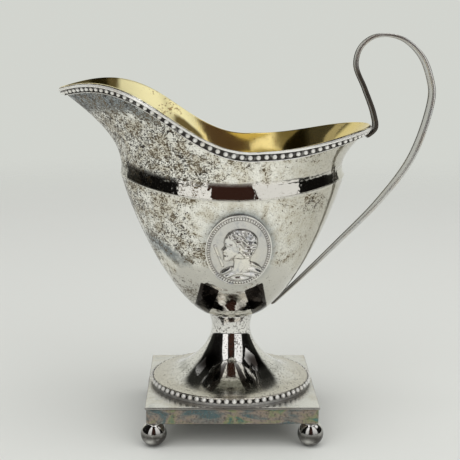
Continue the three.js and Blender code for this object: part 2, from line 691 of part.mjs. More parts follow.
// The origin is under the middle of the whole jug, from the tip of the spout to the loop of the handle.
const reach = new THREE.Box3().setFromObject(creamer);
creamer.position.x = -(reach.min.x + reach.max.x) / 2;

export default creamer;
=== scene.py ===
"""Looks of a silver cream jug of helmet form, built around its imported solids.

Shapes are worked out in millimetres from the upright axis of the foot, and become metres in the
jug's own frame when a mesh is made. The spout points to -X, the handle to +X, the medallion to -Y.
"""
import math

import bmesh
import bpy
import numpy as np
from mathutils import Matrix, Vector


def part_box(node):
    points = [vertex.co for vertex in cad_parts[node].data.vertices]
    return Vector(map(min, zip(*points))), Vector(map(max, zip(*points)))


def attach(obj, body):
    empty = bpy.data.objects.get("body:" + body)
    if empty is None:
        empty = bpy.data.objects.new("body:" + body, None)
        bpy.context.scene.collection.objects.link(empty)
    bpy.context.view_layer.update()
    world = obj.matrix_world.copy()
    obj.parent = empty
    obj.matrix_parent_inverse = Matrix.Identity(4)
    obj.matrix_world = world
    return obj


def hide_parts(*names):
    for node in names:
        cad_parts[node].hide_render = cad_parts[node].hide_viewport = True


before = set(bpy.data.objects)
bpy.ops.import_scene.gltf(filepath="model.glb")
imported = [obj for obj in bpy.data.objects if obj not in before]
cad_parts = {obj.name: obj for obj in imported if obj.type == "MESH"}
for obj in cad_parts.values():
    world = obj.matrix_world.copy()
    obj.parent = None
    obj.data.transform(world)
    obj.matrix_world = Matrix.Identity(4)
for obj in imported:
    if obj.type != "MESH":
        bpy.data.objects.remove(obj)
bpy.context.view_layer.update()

# Camera: it stands a little above the rim and looks down on the jug at the photograph's angle.
# Its place, turn and focal length come from the plinth's corners and the circle of the foot.
MM = 0.001
IMAGE_SIZE = 460  # pixels each way
FOCAL_LENGTH = 1062.2  # pixels
SENSOR_WIDTH = 36
CAMERA_PLACE = Vector((-17.63, -424.56, 160.75)) * MM
CAMERA_TILT = 0.18792  # radians down from level
CAMERA_TURN = -0.0269  # radians about the upright
CAMERA_ROLL = 0.00902

lens = bpy.data.cameras.new("camera")
lens.sensor_width = SENSOR_WIDTH
lens.lens = FOCAL_LENGTH / IMAGE_SIZE * SENSOR_WIDTH
lens.clip_start = 0.01
camera = bpy.data.objects.new("camera", lens)
aim = Matrix.Rotation(CAMERA_TURN, 4, "Z") @ Matrix.Rotation(math.pi / 2 - CAMERA_TILT, 4, "X")
camera.matrix_world = Matrix.Translation(CAMERA_PLACE) @ aim @ Matrix.Rotation(CAMERA_ROLL, 4, "Z")
bpy.context.scene.collection.objects.link(camera)
bpy.context.scene.camera = camera
bpy.context.scene.view_settings.view_transform = "Standard"

# Studio: a plain pale table that runs on without an edge, under the even pale light of a tent.
# Polished silver mirrors the rest of the room: dark in front with two tall windows, pale behind, and
# overhead a lamp, a skylight past the handle and a small card past the spout.
FLOOR_HALF = 2.0
FLOOR_FADE = (0.45, 0.95)  # metres from the jug over which the table gives way to the room
FLOOR_COLOUR = (0.755, 0.765, 0.735, 1)
BACKDROP_COLOUR = (0.645, 0.66, 0.62, 1)
ROOM_DARK = (0.005, 0.0045, 0.004, 1)
ROOM_BROWN = (0.040, 0.017, 0.012, 1)
ROOM_PALE = (0.66, 0.67, 0.62, 1)
ROOM_CEILING = (0.02, 0.02, 0.017, 1)
SKY_COLOUR = (1.0, 1.0, 0.985, 1)
SKY_STRENGTH = 0.62


def add_node(tree, kind, inputs=None, **settings):
    """A shader node with its settings, and with a value or a link on each named input."""
    node = tree.nodes.new("ShaderNode" + kind)
    for setting, value in settings.items():
        setattr(node, setting, value)
    for socket, value in (inputs or {}).items():
        if isinstance(value, bpy.types.NodeSocket):
            tree.links.new(value, node.inputs[socket])
        else:
            node.inputs[socket].default_value = value
    return node


def calculate(tree, operation, *values):
    """One sum of numbers or sockets."""
    return add_node(tree, "Math", dict(enumerate(values)), operation=operation).outputs[0]


def ease(tree, value, low, high, to_low=0.0, to_high=1.0):
    """Goes smoothly from to_low to to_high as the value goes from low to high."""
    inputs = {"Value": value, "From Min": low, "From Max": high, "To Min": to_low, "To Max": to_high}
    return add_node(tree, "MapRange", inputs, interpolation_type="SMOOTHSTEP").outputs[0]


def mix_colours(tree, share, first, second):
    """The first colour where the share is 0 and the second where it is 1."""
    return add_node(tree, "Mix", {0: share, 6: first, 7: second}, data_type="RGBA").outputs[2]


def new_tree(owner):
    """The emptied node tree of a material or a world."""
    owner.use_nodes = True
    owner.node_tree.nodes.clear()
    return owner.node_tree


corners = [(x * FLOOR_HALF, y * FLOOR_HALF, 0) for x, y in ((-1, -1), (1, -1), (1, 1), (-1, 1))]
floor_mesh = bpy.data.meshes.new("floor")
floor_mesh.from_pydata(corners, [], [(0, 1, 2, 3)])
floor = bpy.data.objects.new("floor", floor_mesh)
bpy.context.scene.collection.objects.link(floor)
paper = bpy.data.materials.new("paper")
tree = new_tree(paper)
place = add_node(tree, "TexCoord").outputs["Object"]
reach = add_node(tree, "VectorMath", {0: place}, operation="LENGTH").outputs["Value"]
matt = add_node(tree, "BsdfDiffuse", {"Color": FLOOR_COLOUR}).outputs[0]
clear = add_node(tree, "BsdfTransparent").outputs[0]
blend = add_node(tree, "MixShader", {0: ease(tree, reach, *FLOOR_FADE), 1: matt, 2: clear})
add_node(tree, "OutputMaterial", {"Surface": blend.outputs[0]})
floor_mesh.materials.append(paper)

world = bpy.data.worlds.new("studio")
bpy.context.scene.world = world
tree = new_tree(world)
look = add_node(tree, "SeparateXYZ", {0: add_node(tree, "TexCoord").outputs["Generated"]}).outputs
sideways = calculate(tree, "ABSOLUTE", look["X"])
behind = ease(tree, calculate(tree, "MULTIPLY_ADD", sideways, -0.8, look["Y"]), -0.05, 0.1)
low_enough = ease(tree, calculate(tree, "SUBTRACT", look["Y"], look["Z"]), -0.05, 0.15)
on_backdrop = calculate(tree, "MULTIPLY", behind, low_enough)
ahead = calculate(tree, "MULTIPLY_ADD", sideways, -1.6, calculate(tree, "MULTIPLY", look["Y"], -1.0))
room = mix_colours(tree, ease(tree, ahead, 0.2, 0.6), ROOM_DARK, ROOM_BROWN)
room = mix_colours(tree, ease(tree, look["Y"], 0.1, 0.4), room, ROOM_CEILING)
room = mix_colours(tree, on_backdrop, room, ROOM_PALE)
ray = add_node(tree, "LightPath").outputs
sky = add_node(tree, "Background", {"Color": SKY_COLOUR, "Strength": SKY_STRENGTH}).outputs[0]
mirrored = add_node(tree, "Background", {"Color": room}).outputs[0]
backdrop = add_node(tree, "Background", {"Color": BACKDROP_COLOUR}).outputs[0]
unseen = add_node(tree, "MixShader", {0: ray["Is Glossy Ray"], 1: sky, 2: mirrored}).outputs[0]
seen = add_node(tree, "MixShader", {0: ray["Is Camera Ray"], 1: unseen, 2: backdrop}).outputs[0]
add_node(tree, "OutputWorld", {"Surface": seen})


def soft_light(name, place, target, size, energy, in_mirrors):
    """A rectangular light at a place, turned to a target, and shown or not shown in polished silver."""
    lamp = bpy.data.lights.new(name, "AREA")
    lamp.shape = "RECTANGLE"
    lamp.size, lamp.size_y = size
    lamp.energy = energy
    light = bpy.data.objects.new(name, lamp)
    away = Vector(place) - Vector(target)
    upright = away.to_track_quat("Z", "Y").to_matrix().to_4x4()
    light.matrix_world = Matrix.Translation(place) @ upright
    light.visible_camera = False
    light.visible_glossy = in_mirrors
    bpy.context.scene.collection.objects.link(light)


soft_light("window_left", (-0.44, -0.68, 0.93), (0, 0, 0.93), (0.42, 1.8), 2.4, True)
soft_light("window_right", (0.50, -0.60, 0.93), (0, 0, 0.93), (0.60, 1.8), 3.1, True)
soft_light("lamp", (0.02, -0.12, 0.95), (0.02, -0.12, 0), (0.6, 0.2), 0.9, True)
soft_light("skylight", (0.78, 0.05, 0.85), (0, 0, 0.13), (0.55, 0.45), 0.75, True)
soft_light("card", (-0.70, 0.47, 0.83), (0, 0, 0.13), (0.30, 0.30), 0.09, True)
soft_light("tent", (-0.25, -0.4, 1.25), (0, 0, 0.1), (1.6, 1.6), 1.75, False)

# Ball feet: four hollow silver balls, each soldered under a corner of the plinth with a small collar
# of solder, and worn flat where it stands. They are bright from handling.
FOOT_LOW, FOOT_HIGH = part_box("pedestal_foot")
AXIS_X = (FOOT_LOW.x + FOOT_HIGH.x) / 2 / MM
BALL_RADIUS = 5.1
BALL_FLAT_RADIUS = 1.2
COLLAR_RADIUS = 2.9
COLLAR_THROAT = 0.5  # height of the solder's hollow curve
PLINTH_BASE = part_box("plinth_skirt")[0].z / MM
POLISHED = (0.86, 0.845, 0.81, 1)
SMUDGED = (0.70, 0.67, 0.61, 1)
# Near black: tarnish in crevices, and also the colour of painted dark reflections on the balls and the
# foot.
CREVICE_AND_REFLECTION_DARK = (0.022, 0.017, 0.014, 1)


def grid_faces(rows, columns, closes_rows=False, closes_columns=True):
    """Quads between neighbouring points of a grid, closed to a ring along either side."""
    i = np.arange(rows if closes_rows else rows - 1)[:, None]
    j = np.arange(columns if closes_columns else columns - 1)[None, :]
    below, above = i * columns, (i + 1) % rows * columns
    left, right = j, (j + 1) % columns
    return np.stack([below + left, below + right, above + right, above + left], -1).reshape(-1, 4)


def make_piece(name, shells, materials, sharp_angle=None):
    """Joins shells into one mesh, merges its poles, turns its faces outwards and sets it in the frame.

    A shell is points in millimetres from the axis of the foot, quads, and a dictionary of values for
    each point that the material reads. "finish" in it picks the quads' material.
    """
    starts = np.cumsum([0] + [len(points) for points, _, _ in shells])
    points = np.concatenate([points for points, _, _ in shells])
    quads = np.concatenate([faces + start for (_, faces, _), start in zip(shells, starts)])
    mesh = bpy.data.meshes.new(name)
    mesh.from_pydata(((points + (AXIS_X, 0, 0)) * MM).tolist(), [], quads.tolist())
    for label in sorted({label for _, _, values in shells for label in values}):
        values = [np.broadcast_to(v.get(label, 0.0), len(p)) for p, _, v in shells]
        layer = mesh.attributes.new(label, "FLOAT", "POINT")
        layer.data.foreach_set("value", np.concatenate(values).astype(np.float32))
        if label == "finish":
            picks = np.concatenate(values)[quads].mean(axis=1)
            mesh.polygons.foreach_set("material_index", np.rint(picks).astype(np.int32))
    for material in materials:
        mesh.materials.append(material)
    shape = bmesh.new()
    shape.from_mesh(mesh)
    bmesh.ops.remove_doubles(shape, verts=shape.verts, dist=1e-7)
    bmesh.ops.recalc_face_normals(shape, faces=shape.faces)
    shape.to_mesh(mesh)
    shape.free()
    mesh.polygons.foreach_set("use_smooth", np.ones(len(mesh.polygons), bool))
    if sharp_angle:
        mesh.set_sharp_from_angle(angle=math.radians(sharp_angle))
    piece = bpy.data.objects.new(name, mesh)
    bpy.context.scene.collection.objects.link(piece)
    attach(piece, "root")
    return piece


def turned(profile, columns, x=0.0, y=0.0):
    """A profile of radius and height carried once round an upright axis at x, y."""
    angle = np.linspace(0, 2 * np.pi, columns, endpoint=False)
    radius, height = profile[:, 0, None], profile[:, 1, None]
    across, along = x + radius * np.cos(angle), y + radius * np.sin(angle)
    points = np.stack([across, along, np.broadcast_to(height, across.shape)], -1)
    return points.reshape(-1, 3), grid_faces(len(profile), columns)


def arc(centre, radius, start, end, steps):
    """Points on a circle in the plane of a profile, from one angle in degrees to another."""
    angle = np.radians(np.linspace(start, end, steps))
    return np.stack([centre[0] + radius * np.cos(angle), centre[1] + radius * np.sin(angle)], -1)


def noise(tree, place, size, detail=2.0, roughness=0.5, distortion=0.0):
    """Cloudy noise whose lumps are about size millimetres across."""
    inputs = {
        "Vector": place,
        "Scale": 1 / (size * MM),
        "Detail": detail,
        "Roughness": roughness,
        "Distortion": distortion,
    }
    return add_node(tree, "TexNoise", inputs).outputs[0]


def bump(tree, height, distance):
    """A normal that a height from 0 to 1 tilts, where 1 stands distance millimetres proud."""
    return add_node(tree, "Bump", {"Height": height, "Distance": distance * MM}).outputs[0]


def finish_metal(tree, colour, roughness, metallic, normal):
    """Joins a metal's colour, roughness and normal to the shader and the output."""
    inputs = {"Base Color": colour, "Roughness": roughness, "Metallic": metallic, "Normal": normal}
    shader = add_node(tree, "BsdfPrincipled", inputs)
    add_node(tree, "OutputMaterial", {"Surface": shader.outputs[0]})


def polished_silver(name, clean, smudged, roughness, metallic):
    """Silver with faint smudges and fine wear, darkened by tarnish and by painted darkness where a value
    is high.
    """
    material = bpy.data.materials.new(name)
    tree = new_tree(material)
    place = add_node(tree, "TexCoord").outputs["Object"]
    hollow = add_node(tree, "Attribute", attribute_name="hollow").outputs["Fac"]
    haze = ease(tree, noise(tree, place, 6, 4, 0.6), 0.45, 0.75)
    fleck = ease(tree, noise(tree, place, 0.5, 3, 0.6), 0.62, 0.72)
    colour = mix_colours(tree, haze, clean, smudged)
    uneven = ease(tree, noise(tree, place, 2.5, 4, 0.6), 0.3, 0.5, 0.7, 1.0)
    dirt_and_painted_dark = calculate(tree, "MULTIPLY", hollow, uneven)
    dirt_and_painted_dark = calculate(tree, "MULTIPLY_ADD", fleck, 0.35, dirt_and_painted_dark)
    colour = mix_colours(tree, dirt_and_painted_dark, colour, CREVICE_AND_REFLECTION_DARK)
    rough = calculate(tree, "MULTIPLY_ADD", haze, 0.10, roughness)
    rough = calculate(tree, "MULTIPLY_ADD", dirt_and_painted_dark, 0.12, rough)
    normal = bump(tree, noise(tree, place, 7, 2), 0.05)
    finish_metal(tree, colour, rough, metallic, normal)
    return material


bright_silver = polished_silver("polished_silver", POLISHED, SMUDGED, 0.05, 1.0)
ball_centre = math.sqrt(BALL_RADIUS**2 - BALL_FLAT_RADIUS**2)
flat_angle = -math.degrees(math.acos(BALL_FLAT_RADIUS / BALL_RADIUS))
collar_angle = math.degrees(math.asin((PLINTH_BASE - COLLAR_THROAT - ball_centre) / BALL_RADIUS))
ball_side = arc((0, ball_centre), BALL_RADIUS, flat_angle, collar_angle, 36)
throat = ball_side[-1]
share = np.linspace(0, 1, 6)[1:, None]
collar = throat + (np.array([COLLAR_RADIUS, PLINTH_BASE]) - throat) * np.hstack([share**2, share])
ball_profile = np.vstack([[0, 0], ball_side, collar, [0, PLINTH_BASE]])
for corner in ("front_left", "front_right", "back_left", "back_right"):
    low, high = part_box("ball_foot_" + corner)
    centre = (low + high) / 2 / MM
    points, faces = turned(ball_profile, 48, centre.x - AXIS_X, centre.y)
    soot = np.clip((points[:, 2] - PLINTH_BASE + 1.2) / 1.2, 0, 1) ** 2
    # The collar darkens towards the plinth. A painted dark reflection of the shaded floor darkens the
    # lower half of the ball, all but a pale patch low on the front left.
    across, along, rise = ((points - (centre.x - AXIS_X, centre.y, ball_centre)) / BALL_RADIUS).T
    clear = np.exp(-(((across + 0.3) / 0.35) ** 2) - ((rise + 0.45) / 0.22) ** 2) * (along < 0)
    dark_floor_reflection = 0.92 * np.clip(0.95 - 1.1 * rise, 0, 1) * (1 - 0.8 * clear)
    ball_shell = points, faces, {"hollow": np.maximum(soot, dark_floor_reflection)}
    ball = make_piece("ball_" + corner, [ball_shell], [bright_silver])
    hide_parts("ball_foot_" + corner)

# Plinth base: a flat frame of silver sheet soldered inside the skirt, level with its lower edge.
# It carries the balls and is seen only from below.
FRAME_WIDTH = 7.5
FRAME_CORNER_RADIUS = 2.0
SHEET_EDGE = 0.12  # rounding of cut sheet edges
DULL_TONES = (
    (0.37, (0.095, 0.150, 0.160, 1)),
    (0.43, (0.230, 0.240, 0.140, 1)),
    (0.50, (0.320, 0.255, 0.210, 1)),
    (0.57, (0.250, 0.270, 0.140, 1)),
    (0.63, (0.065, 0.180, 0.165, 1)),
)
DULL_DARK = (0.125, 0.115, 0.10, 1)
SCUFFED = (0.52, 0.49, 0.43, 1)


def rounded_section(corners, radius, steps=4):
    """A closed outline whose corners are rounded by curves that start and end a radius from each."""
    corners = np.asarray(corners, float)
    before, after = np.roll(corners, 1, 0) - corners, np.roll(corners, -1, 0) - corners
    start = corners + radius * before / np.linalg.norm(before, axis=1, keepdims=True)
    end = corners + radius * after / np.linalg.norm(after, axis=1, keepdims=True)
    t = np.linspace(0, 1, steps)[:, None, None]
    curve = (1 - t) ** 2 * start + 2 * t * (1 - t) * corners + t**2 * end
    return curve.swapaxes(0, 1).reshape(-1, 2)


def square_path(arc_steps=7, side_steps=24):
    """Signs of the corner and the outward direction at places round a square with round corners.

    Round a corner the direction turns, and along a side the signs go over from corner to corner.
    """
    signs, outward = [], []
    for quarter in range(4):
        angle = np.radians(90 * quarter + np.linspace(0, 90, arc_steps))
        corner = np.sign(np.cos(angle[arc_steps // 2])), np.sign(np.sin(angle[arc_steps // 2]))
        following = -corner[1], corner[0]
        share = np.linspace(0, 1, side_steps, endpoint=False)[1:, None]
        signs += [np.tile(corner, (arc_steps, 1))]
        signs += [np.array(corner) + share * np.subtract(following, corner)]
        outward += [np.stack([np.cos(angle), np.sin(angle)], -1)]
        outward += [np.tile(outward[-1][-1], (side_steps - 1, 1))]
    return np.concatenate(signs), np.concatenate(outward)


def square_ring(section, corner_radius):
    """A section of half side and height, carried round a square with round corners."""
    signs, outward = square_path()
    half, height = section[:, 0, None, None], section[:, 1, None]
    radius = np.maximum(corner_radius - (section[:, 0].max() - half), 0.2)
    level = (half - radius) * signs + radius * outward
    height = np.broadcast_to(height, level.shape[:2])
    return np.dstack([level, height]).reshape(-1, 3), grid_faces(len(section), len(signs), True)


def dulled_silver():
    """Old silver under a film of tarnish in blue, olive and brown, rubbed pale where "worn" is high."""
    material = bpy.data.materials.new("dulled_silver")
    tree = new_tree(material)
    place = add_node(tree, "TexCoord").outputs["Object"]
    worn = add_node(tree, "Attribute", attribute_name="worn").outputs["Fac"]
    drawn_out = {"Vector": place, "Location": (11 * MM, 0, 0), "Scale": (1, 1, 2.2)}
    drawn_out = add_node(tree, "Mapping", drawn_out).outputs[0]
    mottle = noise(tree, drawn_out, 13, 5, 0.62, 0.8)
    grain = noise(tree, place, 0.9, 3, 0.7)
    film = add_node(tree, "ValToRGB", {"Fac": mottle})
    stops = film.color_ramp.elements
    ends, between = [stops[0], stops[1]], [stops.new(0.5) for _ in DULL_TONES[2:]]
    for stop, (spot, tone) in zip(ends + between, DULL_TONES):
        stop.position = spot
        stop.color = tone
    shade = mix_colours(tree, ease(tree, grain, 0.30, 0.54), DULL_DARK, film.outputs["Color"])
    scuff = ease(tree, noise(tree, place, 0.6, 4, 0.75), 0.55, 0.66)
    rubbed = calculate(tree, "MULTIPLY", scuff, calculate(tree, "MULTIPLY_ADD", worn, 0.7, 0.35))
    colour = mix_colours(tree, rubbed, shade, SCUFFED)
    roughness = ease(tree, grain, 0.3, 0.7, 0.48, 0.32)
    finish_metal(tree, colour, roughness, 0.75, bump(tree, grain, 0.03))
    return material


dull_silver = dulled_silver()
low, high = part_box("plinth_base_frame")
frame_half = (high.x - low.x) / 2 / MM
frame_base, frame_top = low.z / MM, high.z / MM
section = rounded_section(
    [
        (frame_half, frame_base),
        (frame_half, frame_top),
        (frame_half - FRAME_WIDTH, frame_top),
        (frame_half - FRAME_WIDTH, frame_base),
    ],
    SHEET_EDGE,
)
points, faces = square_ring(section, FRAME_CORNER_RADIUS)
base_frame = make_piece("base_frame", [(points, faces, {})], [dull_silver], 30)
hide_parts("plinth_base_frame")

# Plinth skirt: a strip of sheet bent round the four sides and closed at one corner.
# Its faces are dulled and mottled, and rubbed bright along the lower edge.
SKIRT_WALL = 1.1
SKIRT_CORNER_RADIUS = 2.0
SKIRT_EDGE = 0.3
SKIRT_DENT = 0.07  # how far the hand-flattened faces wander

low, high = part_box("plinth_skirt")
skirt_half = (high.x - low.x) / 2 / MM
skirt_base, skirt_top = low.z / MM, high.z / MM
heights = np.linspace(skirt_base + 2 * SKIRT_EDGE, skirt_top - 2 * SKIRT_EDGE, 7)
outer_face = np.stack([np.full(7, skirt_half), heights], -1)
lower_edge = arc((skirt_half - SKIRT_EDGE, skirt_base + SKIRT_EDGE), SKIRT_EDGE, -90, 0, 5)
upper_edge = arc((skirt_half - SKIRT_EDGE, skirt_top - SKIRT_EDGE), SKIRT_EDGE, 0, 90, 5)
inner_face = [(skirt_half - SKIRT_WALL, skirt_top), (skirt_half - SKIRT_WALL, skirt_base)]
section = np.vstack([lower_edge, outer_face, upper_edge, inner_face])
points, faces = square_ring(section, SKIRT_CORNER_RADIUS)
x, y, z = points.T
wander = np.sin(0.21 * x + 0.9) * np.cos(0.17 * y - 0.4) + 0.5 * np.sin(0.43 * (x - y) + 0.35 * z)
points[:, :2] *= 1 + SKIRT_DENT * wander[:, None] / skirt_half
rubbed = np.clip(1 - (z - skirt_base) / 1.6, 0, 1)
skirt = make_piece("skirt", [(points, faces, {"worn": rubbed})], [dull_silver], 50)
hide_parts("plinth_skirt")

# Plinth top: a square plate that overhangs the skirt a little, with an opening under the hollow foot.
# It keeps a soft satin face with fine scratches, and a painted shadow round the foot's ring.
PLATE_EDGE = 0.28
PLATE_CORNER_RADIUS = 0.4
PLATE_DENT = 0.05
PLATE_LOOPS = 13  # from the edge in to the opening
VENT_RADIUS = 22.0
BEAD_CIRCLE = 32.4  # radius of the row of beads that stands on the plate
SATIN = (0.85, 0.84, 0.80, 1)
SATIN_WARM = (0.74, 0.70, 0.62, 1)
SATIN_COOL = (0.56, 0.575, 0.58, 1)
# Dark brown of stains and tarnish, also laid on as painted shade round the foot's ring and on the strap.
STAIN_AND_SHADE = (0.06, 0.05, 0.04, 1)


def satin_silver(name, tones, roughness, stain_share, scratch):
    """Soft silver with a main, a warm and a cool tone in clouds, hairline scratches and small stains.

    Scratches are scratch millimetres deep. Tarnish and painted shade lie dark where a value is high.
    """
    material = bpy.data.materials.new(name)
    tree = new_tree(material)
    place = add_node(tree, "TexCoord").outputs["Object"]
    hollow = add_node(tree, "Attribute", attribute_name="hollow").outputs["Fac"]
    cloud = noise(tree, place, 9, 5, 0.6)
    colour = mix_colours(tree, ease(tree, cloud, 0.42, 0.68), tones[0], tones[1])
    cool = ease(tree, noise(tree, place, 5, 4, 0.65, 0.8), 0.50, 0.72)
    colour = mix_colours(tree, calculate(tree, "MULTIPLY", cool, 0.7), colour, tones[2])
    speck = ease(tree, noise(tree, place, 0.45, 3, 0.65), 0.58, 0.68)
    speck = calculate(tree, "MULTIPLY", speck, ease(tree, cloud, 0.45, 0.62, 0.15, 1.0))
    dirt_and_painted_dark = calculate(tree, "MULTIPLY_ADD", speck, stain_share, hollow)
    colour = mix_colours(tree, dirt_and_painted_dark, colour, STAIN_AND_SHADE)
    spread = add_node(tree, "Mapping", {"Vector": place, "Rotation": (0, 0, 0.5), "Scale": (1, 14, 1)})
    hairline = noise(tree, spread.outputs[0], 3.5, 5, 0.7)
    rough = calculate(tree, "MULTIPLY_ADD", hairline, 0.12, roughness - 0.06)
    rough = calculate(tree, "MULTIPLY_ADD", dirt_and_painted_dark, 0.15, rough)
    finish_metal(tree, colour, rough, 0.95, bump(tree, hairline, scratch))
    return material


plate_silver = satin_silver("plate_silver", (SATIN, SATIN_WARM, SATIN_COOL), 0.19, 0.5, 0.008)
low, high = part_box("plinth_top")
plate_half = (high.x - low.x) / 2 / MM
plate_base, plate_top = low.z / MM, high.z / MM
signs, outward = square_path()
edge = np.vstack([
    arc((plate_half - PLATE_EDGE, plate_base + PLATE_EDGE), PLATE_EDGE, -90, 0, 4),
    arc((plate_half - PLATE_EDGE, plate_top - PLATE_EDGE), PLATE_EDGE, 0, 90, 4),
])
half = edge[:, 0, None, None]
rim_loops = (half - PLATE_CORNER_RADIUS) * signs + PLATE_CORNER_RADIUS * outward
circle = VENT_RADIUS * rim_loops[0] / np.linalg.norm(rim_loops[0], axis=1, keepdims=True)
inwards = np.linspace(0, 1, PLATE_LOOPS + 1)[1:, None, None]
top_loops = rim_loops[-1] + inwards * (circle - rim_loops[-1])
under_loops = rim_loops[0] + inwards[::-1] * (circle - rim_loops[0])
level = np.concatenate([rim_loops, top_loops, under_loops])
height = np.concatenate([edge[:, 1], np.full(PLATE_LOOPS, plate_top), np.full(PLATE_LOOPS, plate_base)])
points = np.dstack([level, np.broadcast_to(height[:, None], level.shape[:2])])
x, y = points[..., 0], points[..., 1]
points[..., 2] += PLATE_DENT * np.sin(0.16 * x + 0.5) * np.sin(0.19 * y - 0.3)
faces = grid_faces(len(level), len(signs), True)
points = points.reshape(-1, 3)
from_beads = np.clip(np.hypot(points[:, 0], points[:, 1]) - BEAD_CIRCLE, 0, None)
# Painted shadow of the foot's ring, fading out over the plate within a few millimetres.
foot_ring_shadow = 0.4 * np.exp(-from_beads / 3.0)
on_edge = 0.6 * (abs(points[:, :2]).max(axis=1) > plate_half - 0.7 * PLATE_EDGE)
plate_shell = points, faces, {"hollow": foot_ring_shadow + on_edge}
plate = make_piece("plinth_plate", [plate_shell], [plate_silver], 50)
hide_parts("plinth_top")

# Foot bead ring: a cast ring soldered under the foot's edge, plain below with a row of beads above.
# Tarnish lies dark between the beads.
BAND_INSIDE = 29.0
BAND_OUTSIDE = 32.2
BAND_PLAIN = 1.0
FOOT_BEAD_RADIUS = 1.0
BEAD_PALE = (0.93, 0.92, 0.88, 1)
BEAD_WARM = (0.84, 0.80, 0.72, 1)
FOOT_BEAD_COUNT = 68


def beads(centres, outward, upward, radius, columns=12, rows=7, reach=1.9):
    """Round beads: each a dome about its outward direction, from its crown to past its widest ring.

    The angle from the crown runs down the rows to reach, in radians, and the columns go round it.
    """
    sideways = np.cross(upward, outward)
    angle = np.linspace(0, reach, rows)[:, None]
    turn = np.linspace(0, 2 * np.pi, columns, endpoint=False)
    parts = np.cos(angle), np.sin(angle) * np.sin(turn), np.sin(angle) * np.cos(turn)
    out, up, side = [part[..., None] for part in np.broadcast_arrays(*parts)]
    frames = [axis[:, None, None, :] for axis in (centres, outward, upward, sideways)]
    points = frames[0] + radius * (out * frames[1] + up * frames[2] + side * frames[3])
    each = rows * columns
    faces = grid_faces(rows, columns)[None] + (np.arange(len(centres)) * each)[:, None, None]
    sunk = np.broadcast_to(np.clip(angle / reach * 2.6 - 1.45, 0, 1), (rows, columns))
    values = {"hollow": np.tile(sunk.ravel() ** 1.5, len(centres))}
    return points.reshape(-1, 3), faces.reshape(-1, 4), values


low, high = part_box("foot_bead_ring")
band_base, band_top = low.z / MM, FOOT_LOW.z / MM
plain_top = band_base + BAND_PLAIN
section = rounded_section(
    [
        (BAND_INSIDE, band_base),
        (BAND_OUTSIDE + 0.35, band_base),
        (BAND_OUTSIDE + 0.35, plain_top),
        (BAND_OUTSIDE - 0.55, plain_top + 0.25),
        (BAND_OUTSIDE - 0.75, band_top),
        (BAND_INSIDE, band_top),
    ],
    0.12,
)
section = np.vstack([section, section[:1]])
points, faces = turned(section, 144)
in_channel = np.clip(0.72 + (points[:, 2] - plain_top) / 0.8, 0.6, 0.98)
ring_shell = points, faces, {"hollow": in_channel}
angle = np.linspace(0, 2 * np.pi, FOOT_BEAD_COUNT, endpoint=False) + 0.02
bead_z = band_top - 0.2
level = np.stack([np.cos(angle), np.sin(angle), np.zeros_like(angle)], -1)
centres = BEAD_CIRCLE * level + (0, 0, bead_z)
tilted = (level + (0, 0, 0.25)) / math.hypot(1, 0.25)
upward = np.cross(level, np.stack([-np.sin(angle), np.cos(angle), 0 * angle], -1))
upward -= (upward * tilted).sum(1, keepdims=True) * tilted
upward /= np.linalg.norm(upward, axis=1, keepdims=True)
bead_shell = beads(centres, tilted, upward, FOOT_BEAD_RADIUS)
bead_silver = polished_silver("bead_silver", BEAD_PALE, BEAD_WARM, 0.34, 0.6)
bead_ring = make_piece("bead_ring", [ring_shell, bead_shell], [bead_silver], 60)
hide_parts("foot_bead_ring")

# Pedestal foot: one sheet spun to a trumpet, soldered to the bowl at its narrow end.
# The middle is bright and the wide edge has a satin haze, with painted dark reflections on its front.
SHEET = 0.9
FOOT_RADIUS = (FOOT_HIGH.x - FOOT_LOW.x) / 2 / MM
# Grey of the smoky film, and of the painted dark reflection on the front of the flare.
FOOT_SMOKE_AND_REFLECTION = (0.34, 0.34, 0.30, 1)
WAIST_RADIUS = 7.9
WAIST_Z = 39.61
EDGE_PULL = 11.4
EDGE_SLOPE = math.radians(3.6)
WAIST_PULL = 8.1
STEM_TOP_RADIUS = 9.2
BOWL_Z = FOOT_HIGH.z / MM


def bezier(controls, t):
    """A curve from its first to its last control point, by mixing neighbours until one point is left."""
    layers = [np.asarray(point, float) for point in controls]
    while len(layers) > 1:
        layers = [a + t[..., None] * (b - a) for a, b in zip(layers, layers[1:])]
    return layers[0]


def inset(profile, distance):
    """A profile moved square to itself towards the axis side."""
    along = np.gradient(profile, axis=0)
    along /= np.linalg.norm(along, axis=1, keepdims=True)
    return profile + distance * np.stack([-along[:, 1], along[:, 0]], -1)


foot_top = FOOT_LOW.z / MM + SHEET
flare = bezier(
    [
        (FOOT_RADIUS, foot_top),
        (FOOT_RADIUS - EDGE_PULL * math.cos(EDGE_SLOPE), foot_top + EDGE_PULL * math.sin(EDGE_SLOPE)),
        (WAIST_RADIUS, WAIST_Z - WAIST_PULL),
        (WAIST_RADIUS, WAIST_Z),
    ],
    np.linspace(0, 1, 60),
)
stem = bezier(
    [(WAIST_RADIUS, WAIST_Z), (WAIST_RADIUS, (WAIST_Z + BOWL_Z) / 2), (STEM_TOP_RADIUS, BOWL_Z)],
    np.linspace(0, 1, 18),
)
outside = np.vstack([flare, stem[1:]])
inside = inset(outside, SHEET)[::-1]
lip = arc((FOOT_RADIUS, foot_top - SHEET / 2), SHEET / 2, -90, 90, 9)
profile = np.vstack([lip, outside[1:], inside])
points, faces = turned(np.vstack([profile, profile[:1]]), 160)
edge_share = np.hypot(points[:, 0], points[:, 1]) / FOOT_RADIUS
from_front = np.arctan2(points[:, 0], -points[:, 1])
